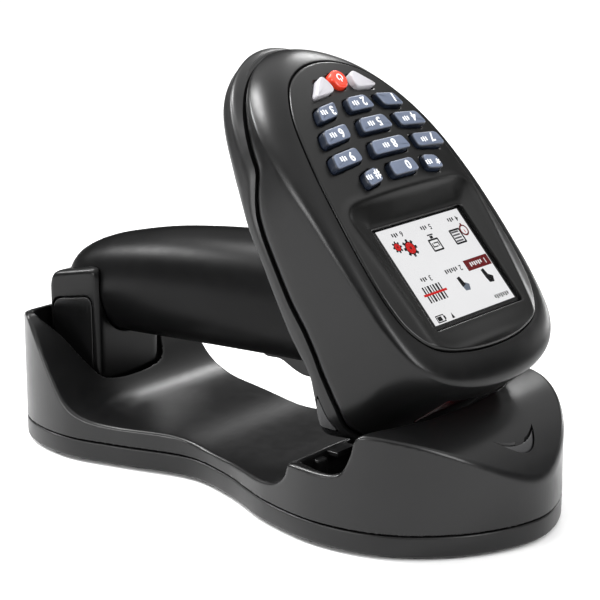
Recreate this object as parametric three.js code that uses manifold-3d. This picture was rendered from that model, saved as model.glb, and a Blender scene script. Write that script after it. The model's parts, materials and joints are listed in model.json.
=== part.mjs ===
// Handheld data collector with a keypad and a colour screen, lying in its charging cradle.
// Millimetres, +Z up. +X runs to the cradle's front tip and +Y to its left.
// The origin is on the table, under the middle of the cradle.
import * as THREE from 'three';
import { mergeVertices } from 'three/addons/utils/BufferGeometryUtils.js';
import Module from 'manifold-3d';

const wasm = await Module();
wasm.setup();

// ---------------------------------------------------------------- driving dimensions

const GAP = 0.3; // clearance between pieces that meet
const WALL = 2.4; // moulded wall thickness
const SIDES = [-1, 1]; // right (-Y) and left (+Y)

// Cradle. Half of its plan outline, from the rear tip to the front tip.
const CRADLE_HALF_PLAN = [
  [-105, 0], [-103.8, 14], [-99, 27], [-88, 35], [-68, 39.2], [-46, 35], [-19, 28.5],
  [2, 33.3], [28, 44.2], [53, 48.6], [76, 43.7], [92.4, 30.6], [101.8, 14.8], [105, 0],
];
// Height of its top along X: rear wall, ramp, saddle, socket lip, front block, front ramp.
const CRADLE_TOP = [
  [-106, 43], [-98, 46.3], [-91, 47.3], [-88.2, 45.4], [-82.1, 38.6], [-74.6, 28.4], [-67, 19.3],
  [-57.5, 15.6], [-26, 14.8], [-9.4, 13.2], [13.3, 13.8], [27.5, 14.8], [33.2, 16.4], [37.4, 19.8],
  [39.3, 24.2], [41, 24.7], [57.5, 25], [61, 26.6], [64.2, 33], [65.4, 37.4], [67.2, 39.2],
  [72, 39.7], [83.3, 37.8], [93.7, 33], [100.5, 27.1], [106, 19.6],
];
const PAN_BOTTOM = 1;
const PAN_TOP = 8;
const PAN_FLOOR = 3;
const SHELL_BOTTOM = PAN_TOP + GAP;
const POCKET_FLOOR = 11;
const POCKET_HALF_PLAN = [
  [-101.6, 0], [-100.4, 14], [-96, 25.5], [-90.3, 29.5], [-83, 24.5], [-76.5, 20], [-72.2, 16],
  [-70.7, 9], [-70.4, 0],
];
const SOCKET_FLOOR = 12;
const SOCKET_REAR = 41.5;
const SOCKET_HALF_PLAN = [
  [SOCKET_REAR, 43.4], [53, 46.2], [63, 45], [66.8, 43.4], [70.5, 35], [74.4, 20], [75.4, 0],
];
// Raised guard along the left wall of the socket: [x, height], and where it starts along Y.
const SOCKET_GUARD = [[47, 24.7], [52, 28], [56, 31.5], [60, 34], [64, 36.8], [66.5, 38.4]];
const GUARD_INSIDE = 36;
const FOOT_PLACES = [[-84, -22], [-84, 22], [58, -34], [58, 34]];
const FOOT_DIAMETER = 12;
const CASE_SCREW_PLACES = [[-58, -28], [-58, 28], [84, -26], [84, 26]];
// Crescent lens in the front ramp, between two arcs that meet at its tips, and the seat around it.
const CRESCENT = { tipX: 93.2, halfSpan: 10.5, outerX: 104.4, innerX: 98.6 };
const CRESCENT_SEAT = { tipX: 92.2, halfSpan: 11.8, outerX: 106.1, innerX: 98.6 };
const CHARGE_PIN = { x: -84, y: 6, diameter: 2.4, tip: 12.5 };
const BOARD = { x: -63, length: 68, width: 34, bottom: 3.9, top: 5.1 };

// Scanner. Its head has a frame of its own: u to the nose, v to the left, w out of the keypad.
const HEAD_TILT = 48; // degrees that the keypad slopes down towards the nose
const HEAD_ORIGIN = [35.83, 0, 125.92]; // the middle of key 5
// Half outlines of the head at its widest, of its skirt, and of the face plate.
const HEAD_HALF_PLAN = [
  [-39.6, 0], [-38, 10], [-33, 20], [-24.8, 28.6], [-10, 37], [8, 41.5], [28, 43], [48, 43],
  [65, 41.8], [78, 38], [86, 30], [91, 17.5], [93, 0],
];
const SKIRT_HALF_PLAN = [
  [-43.6, 0], [-42, 10], [-37, 20], [-28.4, 29.2], [-12, 37.4], [7, 41.8], [28, 43.2], [48, 43.2],
  [65, 42], [78, 38.2], [86, 30.2], [91, 17.7], [93, 0],
];
const PLATE_HALF_PLAN = [
  [-28, 0], [-26.8, 9], [-22.5, 18], [-16.5, 24], [-7, 29.7], [6.5, 33.8], [21, 36], [41, 37.4],
  [58, 37], [68, 34.4], [76, 28], [80.4, 15.5], [81.8, 0],
];
// Along u: depth of the shoulder, of the seam between housing and skirt, of the skirt's lower
// corner, and of the underside's middle. The corner drops to a toe below the nose.
const HEAD_SHOULDER = [[-42, -14], [-20, -13.2], [0, -11], [25, -9.4], [93, -9]];
const HEAD_SEAM = [
  [-42, -15], [-20, -17.4], [-1, -18.5], [5, -23.5], [10, -26.4], [17, -28.5], [39, -33.3], [48, -34.4],
  [56.5, -36.3], [70, -41], [76, -43.4], [82.5, -48.3], [94, -51],
];
const SKIRT_CORNER = [
  [-44, -25.6], [-30, -26.2], [-10, -27.9], [0, -29.8], [13, -32.8], [24, -34.9], [37, -38.2], [47, -40.8],
  [56, -41.9], [62, -43.2], [70, -48.5], [78.7, -55.4], [80.5, -55.8], [82.2, -55], [84, -53], [94, -53.2],
];
const HEAD_UNDERSIDE = [
  [-44, -26.5], [-36, -29], [-28, -31.5], [-10, -33.5], [0, -35], [12, -38], [23, -40.5], [36, -43.5],
  [46, -45.6], [57, -47], [62, -47.8], [70, -51], [78.7, -56.4], [80.5, -56.8], [83, -55.8], [86, -54.4],
  [94, -54.6],
];
const LEAN_START = 9; // depth below which the nose face leans back
const NOSE_LEAN = 0.1; // how far the nose face leans back per millimetre of depth
const PLATE_THICKNESS = 2.2;
// Scan window in the nose, square to its leaning face: u and w of the middle of its inner face.
const SCAN_WINDOW = { u: 85, w: -27, width: 40, height: 17 };
// Screws that hold the skirt to the housing: u, v and the depth of the head.
const HOUSING_SCREWS = [[-22, 25.4, -26], [62, 36.4, -42.4]];
// Triangle of the soft pad let into each side of the toe, in the scanner's own upright frame.
const NOSE_PAD = [[46.9, 46.4], [43.6, 36.6], [50.6, 34.6]];

// Screen, centred on SCREEN_U.
const SCREEN_U = 52.3;
const SCREEN_LENGTH = 37; // along u
const SCREEN_WIDTH = 48.4; // along v
const SCREEN_DEPTH = -4.6; // w of the foot of the bezel's slopes
const SCREEN_FRAME_BOTTOM = -6.4;
// Corners of the sloping dish around the screen, at the plate's surface: u and half width.
const DISH_REAR = [24.2, 34.6];
const DISH_FRONT = [79.5, 27];

// Keys: u of the rear and front edges, half widths of the middle key, v of the side keys' corners.
const KEY_ROWS = [
  { names: ['3', '2', '1'], u: [-10.4, -5], middle: [4.8, 6.6], inner: [10.6, 12.2], outer: [20, 22.2] },
  { names: ['6', '5', '4'], u: [-1.9, 3.6], middle: [6.4, 8.2], inner: [12.6, 13.2], outer: [24.8, 26.6] },
  { names: ['9', '8', '7'], u: [6.9, 12.2], middle: [8.3, 9.8], inner: [14.9, 14.6], outer: [27.8, 29] },
  {
    names: ['hash', '0', 'star'], u: [15.3, 20.6],
    middle: [6.2, 6.9], inner: [12.6, 11.8], outer: [19.4, 20],
  },
];
const KEY_SWEEP = 1.2; // how far the side keys' outer ends lie towards the nose
const KEY_CORNER = 1.9;
const KEY_PROUD = 2.2;
const KEY_FOOT = -2.7; // foot of a key below the crown of the plate
const KEY_CLEARANCE = 0.35;
const POWER_KEY = { u: -18.2, radius: 3.5 };
const SIDE_KEY_CORNERS = [[-21.3, 7.6], [-14.1, 4.9], [-13.2, 16.6]];
const SIDE_KEY_CORNER = 2.1;

// Grip: stations along X with the height of its middle and its half width and half height.
const GRIP_STATIONS = [
  [-98, 52, 3, 4], [-97, 52.2, 6.2, 7.4], [-94, 52.8, 9.4, 11.8], [-87.5, 53.9, 12, 15],
  [-77, 55.6, 13.6, 17.6], [-64, 57.6, 15, 19.1], [-50, 59.5, 16.2, 20.2], [-35, 61, 17, 20.9],
  [-20, 62.2, 17.6, 21.3], [0, 63.4, 18, 21.6], [44, 65, 18.4, 21.8],
];
const GRIP_SIDES = 24;
const GRIP_CUT = [[-40, -20], [15, -34.5], [66, -46.5], [140, -62]]; // [u, w], its end inside the head
const FOOT_BLOCK = {
  rear: -98.6, front: -72, halfWidth: 16, bottom: POCKET_FLOOR + GAP, rearTop: 58.6, frontTop: 64.4,
};
const FOOT_PANEL = [[-95.4, 14.5], [-76, 14.5], [-76, 52.6], [-95.4, 49]]; // panel let into each side
const CONTACT_DEPTH = 2.6; // depth of the contact pads' seats in the foot
const CELL = { diameter: 18.2, length: 65 };

// Trigger under the grip, hinged near the head.
const TRIGGER_PIVOT = [27, 49.6];
const TRIGGER_WIDTH = 12;
const TRIGGER_PROFILE = [
  [-4, 44.8], [-4, 42.4], [3, 42.1], [8.5, 39.7], [13, 38.3], [18, 38.5], [24, 39.9], [29.4, 43.4],
  [30.4, 48], [29.6, 51.8], [26, 53], [23.4, 50.5], [22.4, 45.2],
];

// ---------------------------------------------------------------- colours and finishes

function finish(colour, roughness, metalness = 0) {
  return () => new THREE.MeshStandardMaterial({ color: colour, roughness, metalness });
}
const blackCase = finish('#1b1b1c', 0.45);
const greyCase = finish('#2a2a2b', 0.5);
const darkPlate = finish('#232324', 0.35);
const rubber = finish('#161617', 0.9);
const keyGrey = finish('#6f7b8c', 0.5);
const keyRed = finish('#d8402e', 0.35);
const keyWhite = finish('#d9d9de', 0.4);
const glass = finish('#dfe4e8', 0.05);
const screenWhite = finish('#f4f4f6', 0.4);
const windowRed = finish('#3a0c10', 0.08);
const boardGreen = finish('#1f5a36', 0.6);
const steel = finish('#b4b6b8', 0.3, 1);
const brass = finish('#c9a24c', 0.3, 1);
const cellBlue = finish('#2b4f8f', 0.5);

// ---------------------------------------------------------------- solid helpers

// Two distances from the middle plane as a low and a high Y on the given side.
function span(side, near, far) {
  return side < 0 ? [-far, -near] : [near, far];
}

function solid(geometry) {
  const bare = geometry.clone();
  bare.deleteAttribute('normal');
  bare.deleteAttribute('uv');
  const merged = mergeVertices(bare, 1e-4);
  return new wasm.Manifold(new wasm.Mesh({
    numProp: 3,
    vertProperties: new Float32Array(merged.attributes.position.array),
    triVerts: new Uint32Array(merged.index.array),
  }));
}

function surface(body) {
  const mesh = body.getMesh();
  const geometry = new THREE.BufferGeometry();
  geometry.setAttribute('position', new THREE.BufferAttribute(mesh.vertProperties, 3));
  geometry.setIndex(new THREE.BufferAttribute(mesh.triVerts, 1));
  geometry.computeVertexNormals();
  return geometry;
}

function piece(parent, name, body, material) {
  const mesh = new THREE.Mesh(surface(body), material());
  mesh.name = name;
  parent.add(mesh);
  return mesh;
}

// Height between the points of a table [[x, height], ...].
function along(table, x) {
  let next = table.findIndex(([place]) => place >= x);
  if (next < 0) next = table.length - 1;
  if (next === 0) next = 1;
  const [x0, h0] = table[next - 1];
  const [x1, h1] = table[next];
  return h0 + (h1 - h0) * THREE.MathUtils.clamp((x - x0) / (x1 - x0), 0, 1);
}

// Closed smooth outline from half of it, mirrored in its second coordinate.
function mirroredOutline(half, count) {
  const middle = half.filter(([, y]) => y > 0).reverse();
  const points = [...half, ...middle.map(([x, y]) => [x, -y])].map(([x, y]) => new THREE.Vector3(x, y, 0));
  const curve = new THREE.CatmullRomCurve3(points, true, 'centripetal');
  return curve.getSpacedPoints(count).slice(0, count).map((p) => [p.x, p.y]);
}

// Outline moved inwards by a distance, or outwards where the distance is negative.
function offsetOutline(points, distance) {
  const area = THREE.ShapeUtils.area(points.map(([x, y]) => new THREE.Vector2(x, y)));
  const turn = Math.sign(area) * distance;
  return points.map(([x, y], i) => {
    const [x0, y0] = points[(i + points.length - 1) % points.length];
    const [x1, y1] = points[(i + 1) % points.length];
    const length = Math.hypot(x1 - x0, y1 - y0);
    return [x - (turn * (y1 - y0)) / length, y + (turn * (x1 - x0)) / length];
  });
}

function polygon(points) {
  return new THREE.Shape(points.map(([x, y]) => new THREE.Vector2(x, y)));
}

// Polygon with its corners rounded off.
function roundedPolygon(points, radius) {
  const corners = points.map(([x, y]) => new THREE.Vector2(x, y));
  const shape = new THREE.Shape();
  corners.forEach((corner, i) => {
    const before = corners[(i + corners.length - 1) % corners.length];
    const after = corners[(i + 1) % corners.length];
    const start = corner.clone().add(before.clone().sub(corner).setLength(radius));
    const end = corner.clone().add(after.clone().sub(corner).setLength(radius));
    if (i === 0) shape.moveTo(start.x, start.y);
    else shape.lineTo(start.x, start.y);
    shape.quadraticCurveTo(corner.x, corner.y, end.x, end.y);
  });
  shape.closePath();
  return shape;
}

function rectangle(length, width, x = 0, y = 0) {
  return [
    [x - length / 2, y - width / 2], [x + length / 2, y - width / 2],
    [x + length / 2, y + width / 2], [x - length / 2, y + width / 2],
  ];
}

// Shape in the XY plane raised from z0 to z1.
function upright(shape, z0, z1, curveSegments = 2) {
  const geometry = new THREE.ExtrudeGeometry(shape, { depth: z1 - z0, bevelEnabled: false, curveSegments });
  return solid(geometry.translate(0, 0, z0));
}

// Shape in the XZ plane stretched from y0 to y1.
function sideways(shape, y0, y1, curveSegments = 2) {
  const geometry = new THREE.ExtrudeGeometry(shape, { depth: y1 - y0, bevelEnabled: false, curveSegments });
  return solid(geometry.rotateX(Math.PI / 2).translate(0, y1, 0));
}

function box(x0, x1, y0, y1, z0, z1) {
  const geometry = new THREE.BoxGeometry(x1 - x0, y1 - y0, z1 - z0);
  return solid(geometry.translate((x0 + x1) / 2, (y0 + y1) / 2, (z0 + z1) / 2));
}

// Round bar standing on (x, y), from z0 to z1.
function rod(diameter, x, y, z0, z1, sides = 12) {
  const geometry = new THREE.CylinderGeometry(diameter / 2, diameter / 2, z1 - z0, sides);
  return solid(geometry.rotateX(Math.PI / 2).translate(x, y, (z0 + z1) / 2));
}

// Closed skin over a stack of rings with equal numbers of points, with a middle point at each end.
function loft(rings, firstMiddle, lastMiddle) {
  const count = rings[0].length;
  const points = [...rings.flat(), firstMiddle, lastMiddle];
  const faces = [];
  for (let r = 0; r < rings.length - 1; r += 1) {
    for (let i = 0; i < count; i += 1) {
      const j = (i + 1) % count;
      const [a, b, c, d] = [r * count + i, r * count + j, (r + 1) * count + j, (r + 1) * count + i];
      faces.push([a, b, c], [a, c, d]);
    }
  }
  const first = rings.length * count;
  const last = (rings.length - 1) * count;
  for (let i = 0; i < count; i += 1) {
    const j = (i + 1) % count;
    faces.push([first, j, i], [first + 1, last + i, last + j]);
  }
  const volume = faces.reduce((sum, [a, b, c]) => {
    const [p, q, s] = [points[a], points[b], points[c]].map((v) => new THREE.Vector3(...v));
    return sum + p.dot(q.cross(s));
  }, 0);
  const outward = volume > 0 ? faces : faces.map(([a, b, c]) => [a, c, b]);
  const geometry = new THREE.BufferGeometry();
  geometry.setAttribute('position', new THREE.BufferAttribute(new Float32Array(points.flat()), 3));
  geometry.setIndex(outward.flat());
  return geometry;
}

// ---------------------------------------------------------------- cradle

const cradlePlan = mirroredOutline(CRADLE_HALF_PLAN, 64);
const HIGH = 70; // above everything on the cradle

function underTop(drop) {
  const top = CRADLE_TOP.map(([x, z]) => [x, z - drop]);
  return sideways(polygon([[-106, -10], [106, -10], ...top.reverse()]), -60, 60);
}

function cradleBasePan() {
  let pan = upright(polygon(offsetOutline(cradlePlan, 1.2)), PAN_BOTTOM, PAN_BOTTOM + 1.4);
  pan = pan.add(upright(polygon(cradlePlan), PAN_BOTTOM + 1.4, PAN_TOP));
  pan = pan.subtract(upright(polygon(offsetOutline(cradlePlan, WALL)), PAN_FLOOR, PAN_TOP + 1));
  for (const [x, y] of CASE_SCREW_PLACES) {
    pan = pan.add(rod(8, x, y, PAN_FLOOR - 0.5, PAN_TOP));
    pan = pan.subtract(rod(3.4, x, y, 0, PAN_TOP + 1)).subtract(rod(6.4, x, y, 0, PAN_BOTTOM + 2.2));
  }
  for (const [x, y] of FOOT_PLACES) pan = pan.subtract(rod(FOOT_DIAMETER + 0.8, x, y, 0, PAN_BOTTOM + 0.8));
  for (const y of [-12, 12]) {
    for (const x of [-94, -34]) pan = pan.add(rod(5, x, y, PAN_FLOOR - 0.5, 3.6, 12));
  }
  return pan.subtract(box(-110, -96, -5.2, 5.2, 5.1, PAN_TOP + 1));
}

function socketGuard() {
  const [start, end] = [SOCKET_GUARD[0][0], SOCKET_GUARD[SOCKET_GUARD.length - 1][0]];
  const outline = [[end, SHELL_BOTTOM], [start, SHELL_BOTTOM], ...SOCKET_GUARD];
  return sideways(polygon(outline), GUARD_INSIDE, 60);
}

function cradleTopShell() {
  const block = upright(polygon(cradlePlan), SHELL_BOTTOM, HIGH);
  let shell = block.intersect(underTop(0).add(socketGuard()));
  const hollow = upright(polygon(offsetOutline(cradlePlan, WALL)), SHELL_BOTTOM - 1, HIGH);
  shell = shell.subtract(hollow.intersect(underTop(WALL)));
  const pocket = mirroredOutline(POCKET_HALF_PLAN, 32);
  const tubs = upright(polygon(offsetOutline(pocket, -2)), POCKET_FLOOR - 2, HIGH)
    .add(upright(socketShape(-2), SOCKET_FLOOR - 2, HIGH));
  const bosses = CASE_SCREW_PLACES.map(([x, y]) => rod(7, x, y, SHELL_BOTTOM, HIGH));
  const inside = upright(polygon(offsetOutline(cradlePlan, WALL / 2)), SHELL_BOTTOM, HIGH)
    .intersect(underTop(WALL / 2));
  shell = bosses.reduce((sum, boss) => sum.add(boss.intersect(inside)), shell.add(tubs.intersect(inside)));
  shell = shell.subtract(upright(polygon(pocket), POCKET_FLOOR, HIGH));
  shell = shell.subtract(upright(socketShape(0), SOCKET_FLOOR, HIGH));
  for (const [x, y] of CASE_SCREW_PLACES) shell = shell.subtract(rod(3.2, x, y, 0, 12.8));
  for (const side of SIDES) {
    shell = shell.subtract(rod(3, CHARGE_PIN.x, side * CHARGE_PIN.y, 5, POCKET_FLOOR + 1));
    // tongue, rib and side ledge inside the socket
    shell = shell.add(box(SOCKET_REAR - 0.5, 45.5, ...span(side, 19, 29), 22.6, 24.4));
    shell = shell.add(rod(5, SOCKET_REAR + 0.8, side * 34, SOCKET_FLOOR - 0.5, 23.4));
    const ledge = box(SOCKET_REAR - 0.5, 62, ...span(side, 37, 46), SOCKET_FLOOR - 0.5, 17.5);
    shell = shell.add(ledge.intersect(inside));
  }
  return shell.subtract(crescent(CRESCENT_SEAT, 20, HIGH));
}

function socketShape(grow) {
  const points = [...SOCKET_HALF_PLAN, ...SOCKET_HALF_PLAN.slice(0, -1).reverse().map(([x, y]) => [x, -y])];
  return roundedPolygon(grow ? offsetOutline(points, grow) : points, 1);
}

function crescent({ tipX, halfSpan, outerX, innerX }, z0, z1) {
  const shape = new THREE.Shape();
  shape.moveTo(tipX, -halfSpan);
  shape.quadraticCurveTo(outerX, 0, tipX, halfSpan);
  shape.quadraticCurveTo(innerX, 0, tipX, -halfSpan);
  return upright(shape, z0, z1, 6);
}

function chargePin(side) {
  const { x, y, diameter, tip } = CHARGE_PIN;
  return rod(diameter, x, side * y, 8, tip).add(rod(3.8, x, side * y, 7.6, 8.6));
}

function caseScrew([x, y]) {
  return rod(5.6, x, y, PAN_BOTTOM + 0.3, PAN_BOTTOM + 1.9).add(rod(2.6, x, y, PAN_BOTTOM + 1, 12.4, 12));
}

function chargingBoard() {
  const { x, length, width, bottom, top } = BOARD;
  return upright(roundedPolygon(rectangle(length, width, x, 0), 3), bottom, top);
}

function powerInlet() {
  const body = box(-103.6, -96.6, -4.5, 4.5, 5.4, 8);
  return body.subtract(box(-104, -98, -3.9, 3.9, 6, 7.4));
}

// ---------------------------------------------------------------- scanner head

function headPlan(half) {
  const points = mirroredOutline(half, 40);
  const ends = half.map(([u]) => u);
  const middle = (ends[0] + ends[ends.length - 1]) / 2;
  const halfWidth = Math.max(...half.map(([, v]) => v));
  return { points, middle, halfLength: ends[ends.length - 1] - middle, halfWidth };
}
const outerPlan = headPlan(HEAD_HALF_PLAN);
const skirtPlan = headPlan(SKIRT_HALF_PLAN);
const platePlan = headPlan(PLATE_HALF_PLAN);

// Height of the face plate's crowned surface. It falls away faster behind the keys.
function crown(u, v) {
  const curve = u < 10 ? 0.0031 : 0.0008;
  return -curve * (u - 10) ** 2 - 0.0026 * v ** 2;
}

function lean(u, w) {
  const towardsNose = THREE.MathUtils.smoothstep(u, 40, 90);
  return u - NOSE_LEAN * Math.max(0, -LEAN_START - w) * towardsNose;
}

// Plan outline drawn in by inset.
function drawnIn({ points, middle, halfLength, halfWidth }, inset) {
  const [lengthwise, across] = [1 - inset / halfLength, 1 - inset / halfWidth];
  return points.map(([u, v]) => [middle + (u - middle) * lengthwise, v * across]);
}

// Ring over a plan drawn in by inset, at a height that depends on the place.
function headRing(plan, inset, height) {
  return drawnIn(plan, inset).map(([u, v]) => {
    const w = height(u, v);
    return [lean(u, w), v, w];
  });
}

const aboveCrown = (rise) => (u, v) => crown(u, v) + rise;
const atSeam = (rise) => (u) => along(HEAD_SEAM, u) + rise;
const atShoulder = (rise) => (u) => along(HEAD_SHOULDER, u) + rise;
const middleAt = (height) => [26, 0, height(26, 0)];

// The head above its seam. A quarter round runs from the shoulder up to the edge of the plate,
// and flattens to a slope towards the tail.
function upperHead() {
  const shoulder = headRing(outerPlan, 0, atShoulder(0));
  const edge = headRing(platePlan, -0.6, aboveCrown(-0.4));
  const rings = [headRing(outerPlan, 0, atSeam(GAP / 2)), shoulder];
  for (const angle of [25, 50, 75, 90].map(THREE.MathUtils.degToRad)) {
    const share = (2 * angle) / Math.PI;
    rings.push(shoulder.map(([u, v, w], i) => {
      const [u1, v1, w1] = edge[i];
      const roundness = 0.45 + 0.55 * THREE.MathUtils.smoothstep(u, -30, 30);
      const across = share + (1 - Math.cos(angle) - share) * roundness;
      const rise = share + (Math.sin(angle) - share) * roundness;
      return [u + (u1 - u) * across, v + (v1 - v) * across, w + (w1 - w) * rise];
    }));
  }
  rings.push(headRing(platePlan, 20, aboveCrown(-0.4)));
  return solid(loft(rings, middleAt(atSeam(GAP / 2)), middleAt(aboveCrown(-0.4))));
}

// The hollow of the upper head, up to the ledge that the plate sits on.
function upperHollow(inset) {
  const rings = [
    headRing(outerPlan, inset, atSeam(-3)), headRing(outerPlan, inset, atShoulder(-1.5)),
    headRing(platePlan, -0.6, aboveCrown(-6)),
  ];
  return solid(loft(rings, middleAt(atSeam(-3)), middleAt(aboveCrown(-6))));
}

// The head below its seam, or a copy drawn in by inset and raised by rise.
function lowerHead(inset, rise, top) {
  const between = (upper, lower, share) => (u) => {
    const [start, end] = [along(upper, u), along(lower, u)];
    return Math.min(start + share * (end - start) + rise, top(u) - 0.2);
  };
  const rings = [headRing(outerPlan, inset, top)];
  for (const [draw, share] of [[0, 0.3], [0.4, 0.8], [1.8, 1]]) {
    rings.push(headRing(skirtPlan, inset + draw, between(HEAD_SEAM, SKIRT_CORNER, share)));
  }
  for (const [draw, share] of [[7, 0.5], [14, 0.85], [28, 1]]) {
    rings.push(headRing(skirtPlan, inset + draw, between(SKIRT_CORNER, HEAD_UNDERSIDE, share)));
  }
  return solid(loft(rings, middleAt(top), middleAt(between(SKIRT_CORNER, HEAD_UNDERSIDE, 1))));
}

// Slab of the plate's outline, drawn in by inset, that follows its crown.
function crownedSlab(inset, topRise, bottomRise) {
  const at = (draw, rise) => headRing(platePlan, draw, aboveCrown(rise));
  const rings = [
    at(24, bottomRise), at(inset, bottomRise), at(inset, topRise), at(24, topRise),
  ];
  return solid(loft(rings, middleAt(aboveCrown(bottomRise)), middleAt(aboveCrown(topRise))));
}

// Block square to the nose face, from u0 to u1 at the height of the window's middle.
function windowBox(width, height, u0, u1) {
  const geometry = new THREE.BoxGeometry(u1 - u0, width, height);
  geometry.translate((u0 + u1) / 2 - SCAN_WINDOW.u, 0, 0).rotateY(Math.atan(NOSE_LEAN));
  return solid(geometry.translate(SCAN_WINDOW.u, 0, SCAN_WINDOW.w));
}

function headHousing() {
  const outer = upperHead();
  let housing = outer.subtract(upperHollow(WALL));
  housing = housing.subtract(crownedSlab(3.4, 4, -9));
  housing = housing.subtract(crownedSlab(0, 4, -PLATE_THICKNESS - GAP));
  const { width, height, u } = SCAN_WINDOW;
  housing = housing.add(windowBox(width + 5, height + 5, u - 3, 120).intersect(outer));
  housing = housing.subtract(windowBox(width, height, u - 9, 120));
  const inWall = upperHollow(WALL / 2).intersect(outer);
  for (const side of SIDES) {
    for (const [screwU, v] of HOUSING_SCREWS) {
      housing = housing.add(rod(6.6, screwU, side * v, -60, -8.4, 14).intersect(inWall));
      housing = housing.subtract(rod(2.6, screwU, side * v, -60, -12, 10));
    }
  }
  return housing;
}

function screenRim(length, width, w0, w1, radius) {
  return upright(roundedPolygon(rectangle(length, width, SCREEN_U, 0), radius), w0, w1);
}

// Points around a four-cornered outline, the same number on every rounded corner and every side.
function evenOutline([rear, rearHalf], [front, frontHalf], radius) {
  const corners = [[rear, -rearHalf], [front, -frontHalf], [front, frontHalf], [rear, rearHalf]]
    .map(([u, v]) => new THREE.Vector2(u, v));
  const towards = (from, to) => from.clone().add(to.clone().sub(from).setLength(radius));
  const points = [];
  corners.forEach((corner, i) => {
    const [before, after] = [corners[(i + 3) % 4], corners[(i + 1) % 4]];
    const turn = new THREE.QuadraticBezierCurve(towards(corner, before), corner, towards(corner, after));
    const side = new THREE.LineCurve(towards(corner, after), towards(after, corner));
    points.push(...turn.getPoints(3), ...side.getPoints(4).slice(1, -1));
  });
  return points;
}

// Dish around the screen: its sides slope from the plate's surface down to the screen.
function screenDish() {
  const [halfLength, halfWidth] = [SCREEN_LENGTH / 2 + 2, SCREEN_WIDTH / 2 + 0.6];
  const foot = evenOutline([SCREEN_U - halfLength, halfWidth], [SCREEN_U + halfLength, halfWidth], 1.5);
  const brim = evenOutline(DISH_REAR, DISH_FRONT, 9);
  const rings = [
    foot.map(({ x, y }) => [x, y, SCREEN_DEPTH]),
    brim.map(({ x, y }) => [x, y, crown(x, y) + 0.3]),
  ];
  return solid(loft(rings, [SCREEN_U, 0, SCREEN_DEPTH], [SCREEN_U, 0, 1.2]));
}

function facePlate() {
  let plate = crownedSlab(GAP, 0, -PLATE_THICKNESS);
  const frame = crownedSlab(4, -1.5, -9).intersect(box(26, 78, -40, 40, SCREEN_FRAME_BOTTOM, 0));
  plate = plate.add(frame).subtract(screenDish());
  plate = plate.subtract(screenRim(SCREEN_LENGTH + 2 * GAP, SCREEN_WIDTH + 2 * GAP, -8, 0, 1.2));
  for (const key of keyShapes()) plate = plate.subtract(key.prism(KEY_CLEARANCE, -9, 9));
  return plate;
}

// ---------------------------------------------------------------- keys

function keyShapes() {
  const keys = [];
  const add = (name, corners, radius, material) => {
    const u = corners.reduce((sum, [cu]) => sum + cu, 0) / corners.length;
    const v = corners.reduce((sum, [, cv]) => sum + cv, 0) / corners.length;
    const outline = (grow) => {
      const moved = grow ? offsetCorners(corners, grow) : corners;
      return roundedPolygon(moved, radius + Math.max(0, grow));
    };
    keys.push({
      name: `key_${name}`, u, v, material,
      prism: (grow, w0, w1) => upright(outline(grow), w0, w1),
    });
  };
  for (const { names, u: [u0, u1], middle, inner, outer } of KEY_ROWS) {
    const corners = [[u0, -middle[0]], [u1, -middle[1]], [u1, middle[1]], [u0, middle[0]]];
    add(names[1], corners, KEY_CORNER, keyGrey);
    for (const side of SIDES) {
      const swept = [
        [u0, side * inner[0]], [u1, side * inner[1]],
        [u1 + KEY_SWEEP, side * outer[1]], [u0 + KEY_SWEEP, side * outer[0]],
      ];
      add(names[side + 1], swept, KEY_CORNER, keyGrey);
    }
  }
  for (const side of SIDES) {
    const corners = SIDE_KEY_CORNERS.map(([u, v]) => [u, side * v]);
    add(side < 0 ? 'right' : 'left', corners, SIDE_KEY_CORNER, keyWhite);
  }
  const { u, radius } = POWER_KEY;
  keys.push({
    name: 'key_power', u, v: 0, material: keyRed,
    prism: (grow, w0, w1) => rod(2 * (radius + grow), u, 0, w0, w1, 20),
  });
  return keys;
}

// Convex polygon with every side moved outwards by a distance.
function offsetCorners(corners, distance) {
  const points = corners.map(([x, y]) => new THREE.Vector2(x, y));
  const turn = Math.sign(THREE.ShapeUtils.area(points));
  const normals = points.map((p, i) => {
    const edge = points[(i + 1) % points.length].clone().sub(p).normalize();
    return new THREE.Vector2(edge.y * turn, -edge.x * turn);
  });
  return points.map((p, i) => {
    const before = normals[(i + points.length - 1) % points.length];
    const sum = before.clone().add(normals[i]);
    const moved = p.clone().addScaledVector(sum, (2 * distance) / sum.lengthSq());
    return [moved.x, moved.y];
  });
}

function keyBody(key) {
  const base = crown(key.u, key.v);
  const sides = key.prism(0, base + KEY_FOOT, base + KEY_PROUD - 0.7);
  return sides.add(key.prism(-0.45, base + KEY_FOOT, base + KEY_PROUD));
}

// ---------------------------------------------------------------- inside and below the head

function keypadMembrane() {
  const plan = upright(roundedPolygon([[-20.6, -18], [22.4, -31], [22.4, 31], [-20.6, 18]], 5), -20, 5);
  return crownedSlab(3.8, -4.4, -5.2).intersect(plan);
}

function screenWindow() {
  return screenRim(SCREEN_LENGTH, SCREEN_WIDTH, -5.7, -4.9, 1);
}

function lcdModule() {
  const panel = screenRim(SCREEN_LENGTH - 2 * GAP, SCREEN_WIDTH - 2 * GAP, -8, -6, 1);
  return screenRim(SCREEN_LENGTH + 2, SCREEN_WIDTH + 2, -9.6, -7.4, 1).add(panel);
}

function mainBoard() {
  const corners = [[-14, -17], [10, -26], [74, -24], [74, 24], [10, 26], [-14, 17]];
  return upright(roundedPolygon(corners, 3), -11.2, -10);
}

function scanEngine() {
  const body = box(63, 75, -10.5, 10.5, -34, -20);
  const barrel = new THREE.CylinderGeometry(4, 4, 5, 20);
  return body.add(solid(barrel.rotateZ(Math.PI / 2).translate(76, 4.4, SCAN_WINDOW.w)));
}

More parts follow.
